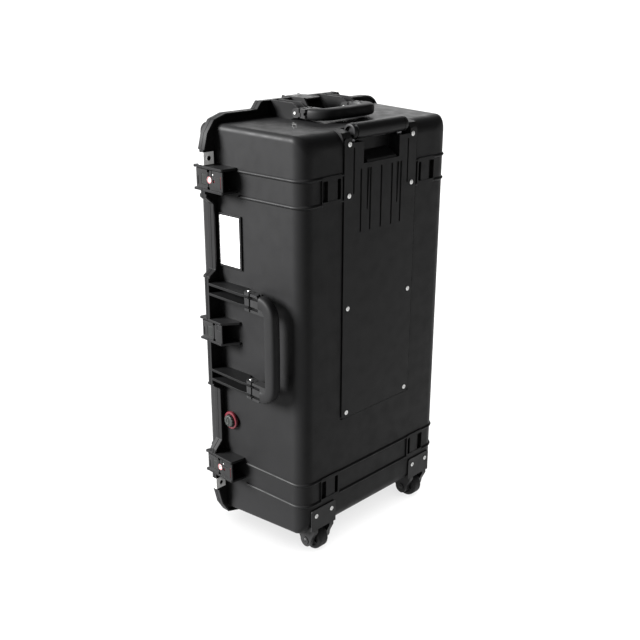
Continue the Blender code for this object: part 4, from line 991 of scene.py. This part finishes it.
def make_valve():
    """A fluted grey cap inside a red ring."""
    low, high = layout_box("pressure_valve_cap")
    y, z = (low.y + high.y) / 2, (low.z + high.z) / 2
    near, far, radius = low.x, high.x, (high.z - low.z) / 2
    rings = []
    for level, scale in ((near, 1), (far - 1.5, 1), (far - 0.4, 0.93), (far, 0.8), (far, 0.5),
                         (far - 1, 0.42), (far - 1, 0.02)):
        ring = []
        for step in range(72):
            angle = 2 * math.pi * step / 72
            depth = 0.9 if step % 6 in (0, 1, 2) and scale > 0.9 else 0.0
            r = (radius - depth) * scale
            ring.append((level, y + r * math.cos(angle), z + r * math.sin(angle)))
        rings.append(ring)
    cap = skin("pressure_valve_cap", rings)
    bar = block("bar", (far - 1.5, y - 1.6, z - 8.4), (far, y + 1.6, z + 8.4))
    piece(join("pressure_valve_cap", [cap, bar]), "base", GREY, ["pressure_valve_cap"], 0.2)
    ring_low, ring_high = layout_box("pressure_valve_ring")
    outer = (ring_high.z - ring_low.z) / 2
    top = ring_high.x
    profile = [(near, radius + 0.5), (near, outer), (top - 1.4, outer), (top - 0.3, outer - 0.8),
               (top, outer - 2), (top - 0.6, radius + 0.5)]
    ring = turned("pressure_valve_ring", profile, "X", (y, z), 48, closed=True)
    piece(ring, "base", RED, ["pressure_valve_ring"], 0)


# ---------------------------------------------------------------- foam and seal

def make_base_foam():
    """The cut foam of the base: the CAD solid's pockets, with softly rounded edges."""
    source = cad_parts["base_foam"]
    foam = bpy.data.objects.new("base_foam_block", source.data.copy())
    bpy.context.scene.collection.objects.link(foam)
    foam.data.materials.clear()
    foam.data.materials.append(FOAM)
    modifier = foam.modifiers.new("soft", "BEVEL")
    modifier.width = 0.0025
    modifier.segments = 4
    modifier.limit_method = "ANGLE"
    modifier.angle_limit = math.radians(40)
    foam.data.shade_smooth()
    foam.data.set_sharp_from_angle(angle=math.radians(60))
    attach(foam, "base")
    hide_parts("base_foam")


def make_lid_foam():
    """Convoluted lid foam: a slab whose open face has rounded peaks and dips."""
    low, high = layout_box("lid_foam")
    margin = 1.0
    columns, rows = 84, 156
    wave = 26.0
    points, faces = [], []
    for row in range(rows + 1):
        for column in range(columns + 1):
            x = low.x + margin + (high.x - low.x - 2 * margin) * column / columns
            z = low.z + margin + (high.z - low.z - 2 * margin) * row / rows
            edge = min(column, columns - column, row, rows - row)
            height = 0.5 + 0.5 * math.sin(2 * math.pi * x / wave) * math.sin(2 * math.pi * z / wave)
            depth = 9.0 * (1 - height) if edge > 2 else 9.0 * (1 - height) * edge / 3 + (3 - edge) * 1.2
            points.append((x, high.y - 0.5 - depth, z))
    width = columns + 1
    for row in range(rows):
        for column in range(columns):
            a = row * width + column
            faces.append([a, a + 1, a + width + 1, a + width])
    border = list(range(columns + 1))
    border += [row * width + columns for row in range(1, rows + 1)]
    border += [rows * width + column for column in range(columns - 1, -1, -1)]
    border += [row * width for row in range(rows - 1, 0, -1)]
    start = len(points)
    for index in border:
        x, _, z = points[index]
        points.append((x * 0.985, low.y + 0.5, (z - 408) * 0.992 + 408))
    for index in range(len(border)):
        after = (index + 1) % len(border)
        faces.append([border[index], start + index, start + after, border[after]])
    faces.append([start + index for index in range(len(border))])
    foam = mesh_object("lid_foam_convoluted", points, faces)
    piece(foam, "lid", FOAM, ["lid_foam"], 0, smooth=60)


def make_seal():
    low, high = layout_box("lid_seal")
    half = high.x - 2.2
    path = rounded(-half, half, low.z + 2.2, high.z - 2.2, 10.5, 10)
    middle = (low.y + high.y) / 2
    section = circle((0, 0), 2.1, 14)
    rings = []
    for index in range(len(path)):
        before, after = Vector(path[index - 1]), Vector(path[(index + 1) % len(path)])
        along = (after - before).normalized()
        out = Vector((along.y, -along.x))
        x, z = path[index]
        rings.append([(x + out.x * a, middle + b, z + out.y * a) for a, b in section])
    seal = skin("lid_seal", rings, ring_closed=True)
    piece(seal, "lid", SEAL, ["lid_seal"], 0, smooth=60)


# ---------------------------------------------------------------- stage

WORLD, FLOOR_SUN = 0.2, 4.2
KEY_DIRECTION, KEY_SUN = (0.79, -0.50, 0.42), 15.5
STEEL_POWER = 35.0
BACK_POWER = 24.0
CAMERA_TARGET = (46.361, 37.0, 412.338)        # layout millimetres
CAMERA_AZIMUTH, CAMERA_ELEVATION, CAMERA_ROLL = 134.651, 20.313, 0.184
CAMERA_DISTANCE, CAMERA_LENS = 1.75609, 52.8


def make_stage():
    scene = bpy.context.scene
    bpy.ops.mesh.primitive_circle_add(vertices=96, radius=60, fill_type="NGON", location=(0, 0, 0))
    floor = bpy.context.object
    floor.name = "floor"
    material, nodes, links, shader = new_material("floor", (0.86, 0.86, 0.86), 0.9, 0.0, 0.0)
    shade = span(nodes, links, noise(nodes, links, 3.0), 0.0, 1.0, 0.3, 0.7)
    tint = mixed_color(nodes, links, shade, (0.86, 0.86, 0.86), (0.88, 0.88, 0.88))
    links.new(tint, shader.inputs["Base Color"])
    floor.data.materials.append(material)
    floor.visible_diffuse = False
    floor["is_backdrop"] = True

    world = bpy.data.worlds.new("studio")
    scene.world = world
    world.use_nodes = True
    world.node_tree.nodes["Background"].inputs["Color"].default_value = (1, 1, 1, 1)
    world.node_tree.nodes["Background"].inputs["Strength"].default_value = WORLD

    case_parts = bpy.data.collections.new("case_lights")
    floor_parts = bpy.data.collections.new("floor_lights")
    steel_parts = bpy.data.collections.new("steel_lights")
    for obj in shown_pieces():
        case_parts.objects.link(obj)
        if PLATE_STEEL.name in obj.data.materials:
            steel_parts.objects.link(obj)
    floor_parts.objects.link(floor)

    def light(name, kind, direction, energy, size, receivers, distance=3.0):
        data = bpy.data.lights.new(name, kind)
        data.energy = energy
        if kind == "SUN":
            data.angle = math.radians(size)
        else:
            data.shape = "DISK"
            data.size = size
        lamp = bpy.data.objects.new(name, data)
        toward = Vector(direction).normalized()
        lamp.location = Vector((0, 0, 0.4)) + toward * distance
        lamp.rotation_euler = toward.to_track_quat("Z", "Y").to_euler()
        scene.collection.objects.link(lamp)
        lamp.light_linking.receiver_collection = receivers
        return lamp

    wash = light("floor_wash", "SUN", (0.1, 0.1, 1), FLOOR_SUN, 120, floor_parts)
    wash.light_linking.blocker_collection = floor_parts
    light("key", "SUN", KEY_DIRECTION, KEY_SUN, 28, case_parts)
    light("steel_fill", "AREA", (0.6, 0.75, 0.3), STEEL_POWER, 1.5, steel_parts, 2.4)
    light("back_rim", "AREA", (-0.66, -0.66, 0.42), BACK_POWER, 2.2, case_parts, 2.6)


def make_camera():
    target = TO_ROW @ Vector(CAMERA_TARGET)
    a, e = math.radians(CAMERA_AZIMUTH - 90), math.radians(CAMERA_ELEVATION)
    toward = Vector((math.cos(e) * math.cos(a), math.cos(e) * math.sin(a), math.sin(e)))
    data = bpy.data.cameras.new("camera")
    data.lens = CAMERA_LENS
    data.sensor_width = 36
    camera = bpy.data.objects.new("camera", data)
    camera.location = target + toward * CAMERA_DISTANCE
    roll = Matrix.Rotation(math.radians(CAMERA_ROLL), 4, "Z")
    turn = toward.to_track_quat("Z", "Y").to_matrix().to_4x4() @ roll
    camera.rotation_euler = turn.to_euler()
    bpy.context.scene.collection.objects.link(camera)
    bpy.context.scene.camera = camera


def main():
    make_base()
    make_lid()
    for name, station in LATCHES.items():
        make_latch(name, *station)
    for name, station in HANDLES.items():
        make_handle(name, *station)
    make_padlock_plates()
    make_screws()
    make_hinge_pins()
    make_trolley()
    make_cover()
    make_wheels()
    make_card()
    make_valve()
    make_base_foam()
    make_lid_foam()
    make_seal()
    make_stage()
    make_camera()
    bpy.context.scene.view_settings.view_transform = "Standard"


main()
